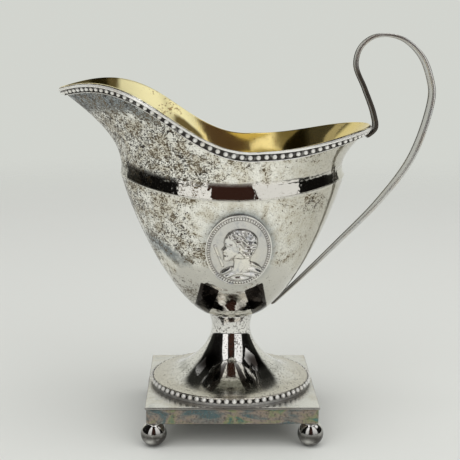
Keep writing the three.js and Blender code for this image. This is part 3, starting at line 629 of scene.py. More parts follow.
# The smoke value is a smoky film round the trumpet and by the waist, and a painted dark reflection on
# the front of the flare.
smoke = np.exp(-(((edge_share - 0.78) / 0.14) ** 4) - ((from_front - 0.02) / 0.42) ** 4)
at_waist = np.clip((0.36 - edge_share) / 0.06, 0, 1)
round_trumpet = np.exp(-(((edge_share - 0.62) / 0.11) ** 2))
smoke = np.maximum(smoke, 0.62 * at_waist * np.clip(abs(from_front) - 0.75, 0, 1))
smoke = np.maximum(smoke, 0.5 * round_trumpet)
grain = 0.35 + 0.5 * at_waist + 0.4 * round_trumpet
# Painted black reflections on the flare, either side of the front.
soot = 0.99 * np.exp(-(((abs(from_front) - 0.72) / 0.34) ** 4) - ((edge_share - 0.46) / 0.11) ** 4)
foot_values = {"edge_share": edge_share, "smoke": smoke, "grain": grain, "soot": soot}


def foot_silver():
    """Bright silver in the middle of the foot that clouds to satin with small stains towards its edge.

    A smoky film, and on the front of the flare a painted dark reflection, lie where the smoke value is
    high, painted black reflections where the soot value is, and fine specks lie as thick as "grain"
    says.
    """
    material = bpy.data.materials.new("foot_silver")
    tree = new_tree(material)
    place = add_node(tree, "TexCoord").outputs["Object"]
    spread = add_node(tree, "Attribute", attribute_name="edge_share").outputs["Fac"]
    cloud = noise(tree, place, 8, 5, 0.65)
    satin = ease(tree, calculate(tree, "MULTIPLY_ADD", cloud, 0.5, spread), 0.88, 1.18)
    smoke = add_node(tree, "Attribute", attribute_name="smoke").outputs["Fac"]
    smoke = ease(tree, calculate(tree, "MULTIPLY_ADD", cloud, 0.7, smoke), 0.65, 1.05)
    grain = add_node(tree, "Attribute", attribute_name="grain").outputs["Fac"]
    speck = ease(tree, noise(tree, place, 0.7, 3, 0.65), 0.53, 0.62)
    speck = calculate(tree, "MULTIPLY", speck, calculate(tree, "MULTIPLY_ADD", satin, 0.3, grain))
    colour = mix_colours(tree, satin, POLISHED, SATIN_WARM)
    colour = mix_colours(tree, smoke, colour, FOOT_SMOKE_AND_REFLECTION)
    soot = add_node(tree, "Attribute", attribute_name="soot").outputs["Fac"]
    colour = mix_colours(tree, soot, colour, CREVICE_AND_REFLECTION_DARK)
    colour = mix_colours(tree, speck, colour, STAIN_AND_SHADE)
    roughness = calculate(tree, "MULTIPLY_ADD", satin, 0.16, 0.05)
    roughness = calculate(tree, "MULTIPLY_ADD", speck, 0.2, roughness)
    finish_metal(tree, colour, roughness, 1.0, bump(tree, noise(tree, place, 7, 2), 0.06))
    return material


foot = make_piece("foot", [(points, faces, foot_values)], [foot_silver()])
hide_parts("pedestal_foot")

# Lower bowl: raised from sheet to an oval cup, round at the stem and dipping along its sides.
# Outside it is clouded with speckled tarnish, darkest towards the spout; inside it is gilt.
SHOULDER_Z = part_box("lower_bowl")[1].z / MM
SHOULDER_HALF_LENGTH = 44.7
SHOULDER_HALF_WIDTH = 37.5
SHOULDER_DIP = 5.8
BASE_PULL = 12.6
BASE_SLOPE = math.radians(12)
TOP_PULL = 22.8
TOP_LEAN = math.radians(14.9)
LIP_RISE = 0.2  # crest of the bowl's edge inside the neck
RIDGE_RADIUS = 0.32  # of the fine ridge where the bowl meets the neck
BODY_COLUMNS = 224
BOWL_ROWS = 90
SILVER_CLEAN = (0.97, 0.955, 0.88, 1)
SILVER_BEIGE = (0.72, 0.68, 0.57, 1)
# Warm grey of the painted shade on the handle side.
SILVER_SHADED_WARM = (0.56, 0.535, 0.455, 1)
SILVER_RUBBED = (0.70, 0.68, 0.62, 1)
# Near black of the flecks, and of the painted dark reflections low on the front.
SPECKLE_AND_REFLECTION_DARK = (0.030, 0.024, 0.020, 1)
SPECKLE_BROWN = (0.135, 0.102, 0.060, 1)
# Blue grey of tarnish film, and of the painted shadow round the medallion.
TARNISH_BLUE_AND_SHADOW = (0.21, 0.245, 0.265, 1)
GILT = (0.95, 0.76, 0.31, 1)
GILT_PALE = (1.0, 0.91, 0.50, 1)
GILT_WORN = (0.30, 0.17, 0.05, 1)
# Dark olive of painted reflections in the gilding.
GILT_DARK_REFLECTION = (0.14, 0.10, 0.025, 1)


def bowl_surface(angle, share):
    """A point of the bowl: the side's curve at a share of its length, carried round to an angle.

    The section goes from a circle at the stem to an oval at the shoulder, and sinks along the sides
    with the square of the height and of the sine of the angle.
    """
    base = np.array([STEM_TOP_RADIUS, BOWL_Z])
    top = np.array([SHOULDER_HALF_LENGTH, SHOULDER_Z])
    low = base + BASE_PULL * np.array([math.cos(BASE_SLOPE), math.sin(BASE_SLOPE)])
    high = top - TOP_PULL * np.array([math.sin(TOP_LEAN), math.cos(TOP_LEAN)])
    reach, height = np.moveaxis(bezier([base, low, high, top], share), -1, 0)
    rise = (height - BOWL_Z) / (SHOULDER_Z - BOWL_Z)
    squeeze = 1 + rise * (SHOULDER_HALF_WIDTH / SHOULDER_HALF_LENGTH - 1)
    dip = SHOULDER_DIP * (rise * np.sin(angle)) ** 2
    return np.stack(np.broadcast_arrays(
        reach * np.cos(angle), squeeze * reach * np.sin(angle), height - dip), -1)


def oval_outward(angle):
    """The level direction square to the shoulder's oval at an angle."""
    level = np.stack([np.cos(angle) / SHOULDER_HALF_LENGTH, np.sin(angle) / SHOULDER_HALF_WIDTH], -1)
    level /= np.linalg.norm(level, axis=-1, keepdims=True)
    return np.concatenate([level, 0 * level[..., :1]], -1)


def offset_surface(surface, a, b, distance):
    """A surface moved along its outward normal, which comes from short steps along both parameters."""
    step = 1e-4
    around = surface(a + step, b) - surface(a - step, b)
    along = surface(a, b + step) - surface(a, b - step)
    normal = np.cross(around, along)
    normal /= np.linalg.norm(normal, axis=-1, keepdims=True)
    here = surface(a, b)
    facing = np.sign((normal[..., :2] * here[..., :2]).sum(-1, keepdims=True))
    return here + np.asarray(distance)[..., None] * normal * facing


def wall_rows(surface, around, shares, lip_rise):
    """Rows of a sheet wall: up the outside, over a rounded edge and down the inside."""
    outer = surface(around, shares[:, None])
    inner = offset_surface(surface, around, shares[::-1, None], np.array(-SHEET))
    turn = np.linspace(0, np.pi, 7)[1:-1, None, None]
    middle, half = (outer[-1] + inner[0]) / 2, (outer[-1] - inner[0]) / 2
    rise = outer[-1] - outer[-2]
    rise /= np.linalg.norm(rise, axis=-1, keepdims=True)
    edge = middle + np.cos(turn) * half + np.sin(turn) * lip_rise * rise
    return outer, edge, inner


def tarnished_silver():
    """Silver clouded with beige and crossed by fine brown and black flecks, thickest towards the spout.

    "polish" rubs an area clean and bright, the smoothing value smooths it and lays a warm painted shade
    on it, "blue" stains it blue grey in ragged patches, "shade" lays a soft painted shadow on it, the
    soot value paints dark reflections on it and "speckle" says how thick the flecks lie.
    """
    material = bpy.data.materials.new("tarnished_silver")
    tree = new_tree(material)
    place = add_node(tree, "TexCoord").outputs["Object"]
    value = {name: add_node(tree, "Attribute", attribute_name=name).outputs["Fac"]
             for name in ("polish", "sheen", "blue", "shade", "soot", "speckle")}
    broad = noise(tree, place, 15, 3, 0.55)
    cloud = noise(tree, place, 4.5, 5, 0.65)
    wide = add_node(tree, "Mapping", {"Vector": place, "Scale": (1, 1, 1.4)}).outputs[0]
    vein = noise(tree, wide, 3.6, 3, 0.6, 1.2)
    fine = noise(tree, place, 0.5, 2, 0.6)
    dull = calculate(tree, "SUBTRACT", 1.0, value["polish"])
    thick = calculate(tree, "MULTIPLY_ADD", broad, 2.2, value["speckle"])
    thick = calculate(tree, "MULTIPLY_ADD", cloud, 2.4, thick)
    thick = calculate(tree, "MULTIPLY_ADD", value["polish"], -0.25, thick)
    lies = ease(tree, thick, 2.35, 3.45)
    off_line = calculate(tree, "ABSOLUTE", calculate(tree, "SUBTRACT", vein, 0.5))
    off_line = calculate(tree, "MULTIPLY_ADD", lies, -0.034, off_line)
    chip = noise(tree, wide, 1.3, 3, 0.6, 1.2)
    chip = ease(tree, calculate(tree, "MULTIPLY_ADD", lies, 0.15, chip), 0.672, 0.690)
    worm = calculate(tree, "MAXIMUM", chip, ease(tree, off_line, -0.012, -0.002, 0.95, 0.0))
    dot = ease(tree, calculate(tree, "MULTIPLY_ADD", lies, 0.12, fine), 0.67, 0.71)
    grain = calculate(tree, "MULTIPLY", ease(tree, fine, 0.48, 0.66), dull)
    grain = calculate(tree, "MULTIPLY", grain, 0.34)
    fleck = calculate(tree, "MAXIMUM", worm, calculate(tree, "MULTIPLY", dot, 0.7))
    fleck = calculate(tree, "MAXIMUM", fleck, grain)
    colour = mix_colours(tree, ease(tree, cloud, 0.35, 0.65), SILVER_CLEAN, SILVER_BEIGE)
    # Painted shade: towards the handle the silver is darkened to a warm grey.
    colour = mix_colours(tree, value["sheen"], colour, SILVER_SHADED_WARM)
    colour = mix_colours(tree, value["polish"], colour, SILVER_RUBBED)
    film = ease(tree, calculate(tree, "MULTIPLY_ADD", cloud, 1.2, value["blue"]), 0.80, 1.45)
    # Blue tarnish film, and round the medallion a painted shadow in the same blue grey.
    film = calculate(tree, "MAXIMUM", calculate(tree, "MULTIPLY", film, 0.9), value["shade"])
    colour = mix_colours(tree, film, colour, TARNISH_BLUE_AND_SHADOW)
    speck = mix_colours(tree, ease(tree, cloud, 0.42, 0.60), SPECKLE_AND_REFLECTION_DARK, SPECKLE_BROWN)
    colour = mix_colours(tree, fleck, colour, speck)
    # Painted dark reflections, low on the front.
    soot = ease(tree, calculate(tree, "MULTIPLY_ADD", cloud, 0.3, value["soot"]), 0.5, 0.75)
    colour = mix_colours(tree, soot, colour, SPECKLE_AND_REFLECTION_DARK)
    haze = calculate(tree, "MULTIPLY", dull, calculate(tree, "SUBTRACT", 1.0, value["sheen"]))
    roughness = calculate(tree, "MULTIPLY_ADD", haze, 0.12, 0.05)
    roughness = calculate(tree, "MULTIPLY_ADD", fleck, 0.25, roughness)
    metallic = calculate(tree, "MULTIPLY_ADD", haze, -0.25, 1.0)
    ripple = calculate(tree, "MULTIPLY", noise(tree, place, 5, 2), value["polish"])
    beaten = calculate(tree, "MULTIPLY_ADD", fine, 0.03, noise(tree, place, 10, 3))
    beaten = calculate(tree, "ADD", ripple, beaten)
    finish_metal(tree, colour, roughness, metallic, bump(tree, beaten, 0.2))
    return material


def gilt_lining():
    """Fire gilding: bright yellow, paler and softer where "lemon" is high, with brown worn flecks.

    The flecks crowd together where "patch" is high, and painted dark olive reflections lie where the
    reflection value is high.
    """
    material = bpy.data.materials.new("gilt_lining")
    tree = new_tree(material)
    place = add_node(tree, "TexCoord").outputs["Object"]
    lemon = add_node(tree, "Attribute", attribute_name="lemon").outputs["Fac"]
    patch = add_node(tree, "Attribute", attribute_name="patch").outputs["Fac"]
    cloud = noise(tree, place, 7, 4, 0.6)
    soft = ease(tree, calculate(tree, "MULTIPLY_ADD", cloud, 0.4, lemon), 0.5, 1.0)
    colour = mix_colours(tree, soft, GILT, GILT_PALE)
    # Painted dark olive reflections.
    dusk = add_node(tree, "Attribute", attribute_name="dusk").outputs["Fac"]
    dusk = ease(tree, calculate(tree, "MULTIPLY_ADD", cloud, 0.6, dusk), 0.45, 1.2)
    colour = mix_colours(tree, dusk, colour, GILT_DARK_REFLECTION)
    fleck = calculate(tree, "MULTIPLY_ADD", patch, 0.08, noise(tree, place, 1.2, 4, 0.7))
    crowd = calculate(tree, "MULTIPLY_ADD", patch, 0.3, cloud)
    crowd = ease(tree, crowd, 0.48, 0.62, 0.05, 0.85)
    worn = calculate(tree, "MULTIPLY", ease(tree, fleck, 0.58, 0.66), crowd)
    colour = mix_colours(tree, worn, colour, GILT_WORN)
    roughness = calculate(tree, "MULTIPLY_ADD", soft, 0.16, 0.12)
    metallic = calculate(tree, "MULTIPLY_ADD", soft, -0.35, 0.95)
    finish_metal(tree, colour, roughness, metallic, bump(tree, noise(tree, place, 8, 2), 0.07))
    return material


body_silver = tarnished_silver()
lining = gilt_lining()
MEDALLION_LOW, MEDALLION_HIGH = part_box("medallion_bezel")
halo_centre = (MEDALLION_LOW + MEDALLION_HIGH) / 2 / MM
halo_half = (MEDALLION_HIGH - MEDALLION_LOW) / 2 / MM


def stains(points):
    """Where the body's tarnish lies, by place.

    Flecks thin out from the spout to the handle, where the silver is smooth and darkened by a warm
    painted shade. A painted shadow of blue grey lies round the medallion, heaviest at its upper right,
    and blue tarnish in a slanting streak left of it and along the flank under the spout. Two painted
    dark reflections lie low on the front, either side of the stem. The gilding is pale behind the spout,
    with a worn patch, and with painted dark olive reflections at the spout's tip, at the bend of the rim
    and towards the handle.
    """
    x, y, z = points.T
    front = y < 0
    across = (x + AXIS_X - halo_centre.x) / (halo_half.x + 0.6)
    up = (z - halo_centre.z) / (halo_half.z + 0.6)
    beyond = np.clip(np.hypot(across, up) - 1, 0, None)
    # Painted shadow of the medallion on the bowl, heaviest at its upper right.
    medallion_shadow = np.exp(-beyond / 0.10) * (0.55 + 0.45 * np.sin(np.arctan2(up, across) + 0.5))
    streak = np.exp(-(((z - 76 + 0.45 * (x + 26)) / 4.5) ** 2) - ((x + 27) / 13) ** 2)
    flank = np.exp(-(((y + 3) / 7) ** 2)) * (x < 0) * (z < SHOULDER_Z - 4)
    on_neck = 0.18 * (z > SHOULDER_Z)
    over_medallion = 0.5 * np.exp(-(((x - 4) / 15) ** 2) - ((z - 98) / 7) ** 2)
    by_handle = np.exp(-(((x - 30) / 5) ** 2) - ((z - 97) / 4) ** 2)
    by_handle = np.maximum(by_handle, np.exp(-(((x - 30) / 7) ** 2) - ((z - 115) / 4) ** 2))
    by_handle *= 0.75
    # Painted dark reflections: two black marks on the polished underside, either side of the stem.
    from_middle = abs(x + 0.5)
    below_top = 60.6 + 0.45 * (from_middle - 5) - z
    past_inside = from_middle - 4.8 - 0.3 * np.clip(61 - z, 0, None)
    within_outside = 13.6 - 0.2 * (z - 55.5) - from_middle
    in_dark_reflection = np.minimum(np.minimum(below_top, past_inside), within_outside)
    lemon = np.clip((-x - 6) / 14, 0, 1) * np.clip((x + 54) / 5, 0, 1)
    patch = np.exp(-(((x + 27) / 4.5) ** 2) - ((z - 126) / 4) ** 2) * ~front
    # Painted dark olive reflections in the gilding, at the bend of the rim, the spout's tip and towards
    # the handle.
    low_on_wall = np.clip((123 - 0.8 * (x + 20.5) - z) / 2.5, 0, 1)
    at_bend = 1.2 * low_on_wall * np.exp(-(((x + 18) / 6.5) ** 4))
    at_tip = 1.1 * np.exp(-(((x + 53) / 6) ** 4))
    by_end = 0.9 * np.exp(-(((x - 26) / 8) ** 4))
    on_back_wall = np.clip(0.5 + y / 8, 0, 1) * np.clip((z - 104) / 7, 0, 1)
    return {
        "blue": np.maximum(0.85 * streak * front, 0.75 * flank),
        "shade": 0.75 * medallion_shadow * front,
        # Painted dark reflections low on the front.
        "soot": np.clip(0.5 + in_dark_reflection, 0, 1) * front,
        "speckle": np.clip(0.50 - x / 80, -0.1, 1.0) + on_neck + (by_handle - over_medallion) * front,
        # Smoother towards the handle, and darkened there by a warm painted shade.
        "sheen": np.clip((x - 14) / 18, 0, 0.85),
        "lemon": lemon,
        "patch": patch,
        "dusk": np.maximum(np.maximum(at_bend, at_tip), by_end) * on_back_wall,
    }


around = np.linspace(0, 2 * np.pi, BODY_COLUMNS, endpoint=False)
outer, edge, inner = wall_rows(bowl_surface, around, np.linspace(0, 1, BOWL_ROWS), LIP_RISE)
bottom = np.broadcast_to([0, 0, BOWL_Z], outer[:1].shape)
inside_bottom = np.broadcast_to([0, 0, BOWL_Z + SHEET], outer[:1].shape)
rows = np.concatenate([bottom, outer, edge, inner, inside_bottom])
points = rows.reshape(-1, 3)
height = np.concatenate([[0], np.linspace(0, 1, BOWL_ROWS), np.ones(len(edge))])
height = np.concatenate([height, np.full(BOWL_ROWS + 1, 0.5)])
across_view = np.clip((0.8 - abs(np.cos(around))) / 0.15, 0, 1)
rubbed_top = (0.49 + 0.09 * across_view) - height[:, None]
polish = np.clip(rubbed_top / 0.03, 0, 1) + np.clip((height[:, None] - 0.985) / 0.015, 0, 1)
is_gilt = np.arange(len(rows)) > BOWL_ROWS + len(edge)
values = stains(points)
values["polish"] = np.clip(polish, 0, 1).ravel()
values["finish"] = np.repeat(is_gilt.astype(float), BODY_COLUMNS)
faces = grid_faces(len(rows), BODY_COLUMNS)
wall_shell = points, faces, values
turn = np.linspace(0, 2 * np.pi, 10, endpoint=False)[:, None, None]
outward = oval_outward(around)
middle = bowl_surface(around, np.ones_like(around)) + RIDGE_RADIUS / 2 * ((0, 0, 1) - outward)
ridge_wire = middle + RIDGE_RADIUS * (np.cos(turn) * outward + np.sin(turn) * (0, 0, 1))
ridge_shell = ridge_wire.reshape(-1, 3), grid_faces(10, BODY_COLUMNS, True), {"polish": 1.0}
bowl = make_piece("bowl", [wall_shell, ridge_shell], [body_silver, lining])
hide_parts("lower_bowl")

# Neck: a second raised sheet, soldered to the bowl's edge. It draws in to a polished hollow,
# then flares to a rim that sweeps up to the spout and to the handle. It is gilt inside.
SEAM = 0.3
NECK_PINCH = 1.7
NECK_END_PINCH = 2.9
NECK_LOW_SHARE = 0.33
FLARE_REACH_SHARE = 0.7
FLARE_HEIGHT_SHARE = 0.38
SPOUT_X = -68.8
END_X = 55.0
RIM_HALF_WIDTH = 39.4
RIM_WIDEST_X = -26.0
SPOUT_FULLNESS = 0.45
END_FULLNESS = 1.21
RIM_LOW_X = 10.2
RIM_LOW_Z = SHOULDER_Z + 12.4
CREST_RISE = 23.3
CREST_X = -56.8
CREST_LEAN = 0.048
END_RISE = 7.8
END_WAVE = 57.3
RIM_EDGE_RISE = 0.2
COVE_HEIGHT = 6.5  # the polished hollow above the shoulder
NECK_ROWS = 72


def rim_line(around):
    """A point of the rim at an angle that starts at the spout's tip and runs anticlockwise from above.

    In plan it is two half ovals of unlike length, the one at the spout pointed. Its height follows half
    waves from its lowest point up to the crest behind the spout and up to the handle.
    """
    along, side = np.cos(around), -np.sin(around)
    to_spout = along > 0
    length = np.where(to_spout, RIM_WIDEST_X - SPOUT_X, END_X - RIM_WIDEST_X)
    fullness = np.where(to_spout, SPOUT_FULLNESS, END_FULLNESS)
    x = RIM_WIDEST_X - along * length
    y = RIM_HALF_WIDTH * (fullness * side + (1 - fullness) * side**3)
    rises = x < RIM_LOW_X
    share = np.where(rises, (RIM_LOW_X - x) / (RIM_LOW_X - CREST_X), (x - RIM_LOW_X) / END_WAVE)
    lean = np.where(rises, CREST_LEAN * np.sin(2 * np.pi * share), 0)
    wave = (1 - np.cos(np.pi * share)) / 2 - lean
    return np.stack([x, y, RIM_LOW_Z + np.where(rises, CREST_RISE, END_RISE) * wave], -1)


def neck_surface(around, share):
    """A point of the neck: a curve from the shoulder up to the rim, which draws in before it flares."""
    top = rim_line(around)
    angle = np.arctan2(top[..., 1] / SHOULDER_HALF_WIDTH, top[..., 0] / SHOULDER_HALF_LENGTH)
    shoulder = bowl_surface(angle, np.ones_like(angle)) + (0, 0, SEAM)
    outward = oval_outward(angle)
    rise = (top - shoulder)[..., 2:] * (0, 0, 1)
    pinch = NECK_PINCH + (NECK_END_PINCH - NECK_PINCH) * (1 + np.cos(angle))[..., None] / 2
    low = shoulder - pinch * outward + NECK_LOW_SHARE * rise
    high = top + FLARE_REACH_SHARE * (shoulder - top)
    high = high * (1, 1, 0) + top * (0, 0, 1) - FLARE_HEIGHT_SHARE * rise
    return bezier([shoulder, low, high, top], np.asarray(share))


def seated_neck(around, share):
    """The neck with its lowest part let down on to the bowl's edge, to close the seam between them."""
    drop = SEAM * np.clip(1 - np.asarray(share) / 0.12, 0, 1)
    return neck_surface(around, share) - drop[..., None] * (0, 0, 1)


around = np.linspace(0, 2 * np.pi, BODY_COLUMNS, endpoint=False)
shares = np.linspace(0, 1, NECK_ROWS)
outer, edge, inner = wall_rows(seated_neck, around, shares, RIM_EDGE_RISE)
rows = np.concatenate([outer, edge, inner])
points = rows.reshape(-1, 3)
height = np.concatenate([shares, np.ones(len(edge)), np.full(NECK_ROWS, 0.5)])[:, None]
spoutward = np.clip((-rows[..., 0] - 14) / 30, 0, 1)
rise = rows[..., 2] - rows[0, :, 2]
values = stains(points)
values["polish"] = (np.clip((COVE_HEIGHT - rise) / 1.5, 0, 1) * (height < 0.45)).ravel()
under_band = np.clip(1.4 - (outer[-1, :, 2] - rows[..., 2] - 3.2) / 7.5, 0, 1) * (height < 1)
values["blue"] = np.maximum(values["blue"], (under_band * spoutward).ravel())
is_gilt = np.arange(len(rows)) >= NECK_ROWS + len(edge) // 2
values["finish"] = np.repeat(is_gilt.astype(float), BODY_COLUMNS)
faces = grid_faces(len(rows), BODY_COLUMNS, True)
neck = make_piece("neck_wall", [(points, faces, values)], [body_silver, lining])
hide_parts("neck")

# Rim bead band: a cast strip soldered round the outside of the rim, with a plain fillet above,
# a fine thread below and a row of beads in the channel between them.
BAND_THICKNESS = 0.9
BAND_CHANNEL = 0.35
BAND_FILLET = 0.55
BAND_THREAD = 0.3
BAND_HEIGHT = 3.4
BAND_COLUMNS = 480
RIM_BEAD_RADIUS = 0.95
RIM_BEAD_COUNT = 107
STRAP_ROOT_WIDTH = 8.4


def band_surface(around, height, out):
    """A place on the band, at a height above its lower edge and a distance out from the neck's side."""
    step = 0.05
    top = np.ones_like(around)
    climb = neck_surface(around, top) - neck_surface(around, top - step)
    slope = np.linalg.norm(climb, axis=-1) / step
    share = 1 - (BAND_HEIGHT - height) / slope
    return offset_surface(neck_surface, around, share, np.asarray(out, float))


channel_low, channel_high = BAND_THREAD, BAND_HEIGHT - BAND_FILLET
section = rounded_section(
    [
        (0, -0.2),
        (0, BAND_THICKNESS),
        (channel_low, BAND_THICKNESS),
        (channel_low, BAND_CHANNEL),
        (channel_high, BAND_CHANNEL),
        (channel_high, BAND_THICKNESS),
        (BAND_HEIGHT + 0.05, BAND_THICKNESS),
        (BAND_HEIGHT + 0.05, -0.2),
    ],
    0.17,
)
around = np.linspace(0, 2 * np.pi, BAND_COLUMNS, endpoint=False)
band = band_surface(around[None, :], section[:, :1], section[:, 1:])
in_channel = np.clip((BAND_THICKNESS - section[:, 1]) / 0.3, 0, 1)
in_channel *= (section[:, 0] > channel_low - 0.01) & (section[:, 0] < channel_high + 0.01)
band_values = {"hollow": np.repeat(in_channel * 0.98, BAND_COLUMNS)}
band_shell = band.reshape(-1, 3), grid_faces(len(section), BAND_COLUMNS, True), band_values

fine = np.linspace(0, 2 * np.pi, 2881)
middle = (channel_low + channel_high) / 2
line = band_surface(fine, np.full_like(fine, middle), np.full_like(fine, BAND_CHANNEL))
travelled = np.concatenate([[0], np.cumsum(np.linalg.norm(np.diff(line, axis=0), axis=1))])
stations = (np.arange(RIM_BEAD_COUNT) + 0.5) / RIM_BEAD_COUNT * travelled[-1]
around = np.interp(stations, travelled, fine)
flat = np.full_like(around, middle)
centres = band_surface(around, flat, np.full_like(around, BAND_CHANNEL - 0.1))
outward = band_surface(around, flat, np.full_like(around, BAND_CHANNEL + 0.9)) - centres
outward /= np.linalg.norm(outward, axis=1, keepdims=True)
upward = band_surface(around, flat + 0.5, np.full_like(around, BAND_CHANNEL)) - centres
upward -= (upward * outward).sum(1, keepdims=True) * outward
upward /= np.linalg.norm(upward, axis=1, keepdims=True)
shows = (centres[:, 0] < 0) | (abs(centres[:, 1]) > STRAP_ROOT_WIDTH / 2 + RIM_BEAD_RADIUS)
bead_shell = beads(centres[shows], outward[shows], upward[shows], RIM_BEAD_RADIUS)
bead_band = make_piece("bead_band", [band_shell, bead_shell], [bead_silver], 60)
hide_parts("rim_bead_band")

# Handle: a drawn strap with a raised thread along both edges, soldered to the rim band at its root,
# bent to a high loop and swept down to a narrow tail soldered on the bowl.
STRAP_THICKNESS = 1.45
STRAP_TIP_THICKNESS = 0.8
STRAP_THROAT_WIDTH = 6.2
STRAP_GRIP_WIDTH = 9.0
STRAP_TAIL_WIDTH = 4.0
STRAP_ROOT_LAP = 1.0
LOOP_RISE = 36.4
LOOP_REACH = 22.4
TAIL_START = 0.25
TAIL_END = 0.175
STRAP_ROWS = 360
STRAP_TONES = ((0.64, 0.635, 0.61, 1), (0.58, 0.54, 0.48, 1), (0.52, 0.54, 0.55, 1))


def spans_through(knots):
    """Cubic spans between knots, all but the first and the last.

    Each span's end slopes come from the knots on either side, weighted by the square roots of the
    distances between them.
    """
    gap = np.sqrt(np.linalg.norm(np.diff(knots, axis=0), axis=1))[:, None]
    before, here, after = gap[:-2], gap[1:-1], gap[2:]
    p0, p1, p2, p3 = knots[:-3], knots[1:-2], knots[2:-1], knots[3:]
    start = here * ((p1 - p0) / before - (p2 - p0) / (before + here) + (p2 - p1) / here)
    end = here * ((p2 - p1) / here - (p3 - p1) / (here + after) + (p3 - p2) / after)
    t = np.linspace(0, 1, 60, endpoint=False)[:, None, None]
    bend, twist = 3 * (p2 - p1) - 2 * start - end, 2 * (p1 - p2) + start + end
    spans = p1 + start * t + bend * t**2 + twist * t**3
    return spans.swapaxes(0, 1).reshape(-1, knots.shape[1])


def smooth_path(knots, count):
    """A smooth curve from the first knot to the last, with points evenly spaced along it."""
    beyond = 2 * knots[[0, -1]] - knots[[1, -2]]
    path = np.vstack([spans_through(np.vstack([beyond[:1], knots, beyond[1:]])), knots[-1:]])
    length = np.concatenate([[0], np.cumsum(np.linalg.norm(np.diff(path, axis=0), axis=1))])
    places = np.linspace(0, length[-1], count)
    return np.stack([np.interp(places, length, column) for column in path.T], -1)


def strap_knots():
    """Knots of the strap's middle line in the jug's plane. The second number of each is its width."""
    outside = SEAM + BAND_THICKNESS + STRAP_THICKNESS / 2
    heights = np.array([-STRAP_ROOT_LAP, BAND_HEIGHT + STRAP_THICKNESS / 2])
    ends = band_surface(np.full(2, np.pi), heights, np.full(2, outside))
    tip, root = ends * (1, 0, 1) + (0, STRAP_ROOT_WIDTH, 0)
    upper = (STRAP_ROOT_WIDTH + STRAP_THROAT_WIDTH) / 2
    crown = (STRAP_THROAT_WIDTH + STRAP_GRIP_WIDTH) / 2
    loop = np.array([
        (-0.03, STRAP_ROOT_WIDTH, 0.146),
        (-0.2, upper, 0.42),
        (-0.37, STRAP_THROAT_WIDTH, 0.68),
        (-0.3, STRAP_THROAT_WIDTH, 0.865),
        (-0.08, STRAP_THROAT_WIDTH, 0.98),
        (0.2, STRAP_THROAT_WIDTH, 1.0),
        (0.5, crown, 0.945),
        (0.8, STRAP_GRIP_WIDTH, 0.77),
        (0.97, STRAP_GRIP_WIDTH, 0.51),
        (1.0, STRAP_GRIP_WIDTH, 0.33),
    ])
    loop = loop * (LOOP_REACH, 1, LOOP_RISE) + root * (1, 0, 1)
    share = np.array([0, 0.5, 1])
    place = TAIL_START + share * (TAIL_END - TAIL_START)
    lift = SEAM + (STRAP_THICKNESS + share * (STRAP_TIP_THICKNESS - STRAP_THICKNESS)) / 2
    tail = offset_surface(bowl_surface, np.zeros(3), place, lift) * (1, 0, 1) + (0, STRAP_TAIL_WIDTH, 0)
    sweep = np.array([
        (0.114, STRAP_GRIP_WIDTH, 0.282),
        (0.328, (STRAP_GRIP_WIDTH + STRAP_TAIL_WIDTH) / 2, 0.505),
        (0.614, STRAP_TAIL_WIDTH, 0.724),
        (0.856, STRAP_TAIL_WIDTH, 0.9),
    ])
    fall = (tail[0] - loop[-1]) * (1, 0, 1) + (0, 1, 0)
    sweep = sweep * fall + loop[-1] * (1, 0, 1)
    return np.vstack([tip, root, loop, sweep, tail])


path = smooth_path(strap_knots(), STRAP_ROWS)
along = np.gradient(path[:, [0, 2]], axis=0)
along /= np.linalg.norm(along, axis=1, keepdims=True)
across = np.stack([along[:, 1], 0 * along[:, 0], -along[:, 0]], -1)
share = np.linspace(0, 1, STRAP_ROWS)
taper = np.clip((share - 0.8) / 0.2, 0, 1)
thickness = STRAP_THICKNESS + (STRAP_TIP_THICKNESS - STRAP_THICKNESS) * taper**2 * (3 - 2 * taper)
rounding = np.sqrt(np.clip(1 - np.clip((share - 0.985) / 0.0155, 0, 1) ** 2, 0.01, 1))
rounding *= np.sqrt(np.clip(1 - np.clip((0.008 - share) / 0.0085, 0, 1) ** 2, 0.01, 1))
half_width = path[:, 1] / 2 * rounding
face_side = np.linspace(0.97, -0.97, 33)
edge_thread = np.sqrt(np.clip(1 - ((np.abs(face_side) - 0.88) / 0.12) ** 2, 0, 1))
face_out = 0.70 + 0.30 * edge_thread - 0.16 * np.exp(-(((np.abs(face_side) - 0.74) / 0.035) ** 2))
side = np.concatenate([face_side, [-1, -1, -1], face_side[::-1], [1, 1, 1]])
out = np.concatenate([face_out, [0.5, 0, -0.5], -face_out, [-0.5, 0, 0.5]])
lift = thickness[:, None] / 2 * out
points = path[:, None, :] * (1, 0, 1) + lift[..., None] * across[:, None, :]
points[..., 1] = half_width[:, None] * side
ends = [np.broadcast_to(points[i].mean(0), points[i].shape)[None] for i in (0, -1)]
points = np.concatenate([ends[0], points, ends[1]])
faces = grid_faces(STRAP_ROWS + 2, len(side))
# The grooves hold tarnish and the loop's inner face takes a little painted shade. The root and its first
# rise are blackened, and towards the tail a painted shade darkens the inner face and the sides where the
# strap lies on the bowl.
groove_and_inner_shade = np.exp(-(((np.abs(side) - 0.74) / 0.05) ** 2)) * 0.4 + 0.15 * (out > 0.55)
soot = np.clip((0.20 - share) / 0.06, 0, 1)[:, None] + groove_and_inner_shade
soot = soot + 0.75 * np.clip((share - 0.84) / 0.1, 0, 1)[:, None] * (out > -0.2)
soot = np.concatenate([soot[:1], soot, soot[-1:]])
strap_values = {"hollow": np.clip(soot, 0, 0.95).ravel()}
strap_silver = satin_silver("strap_silver", STRAP_TONES, 0.24, 0.0, 0.0)
strap_shell = points.reshape(-1, 3), faces, strap_values
strap = make_piece("strap", [strap_shell], [strap_silver])
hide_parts("handle_strap")

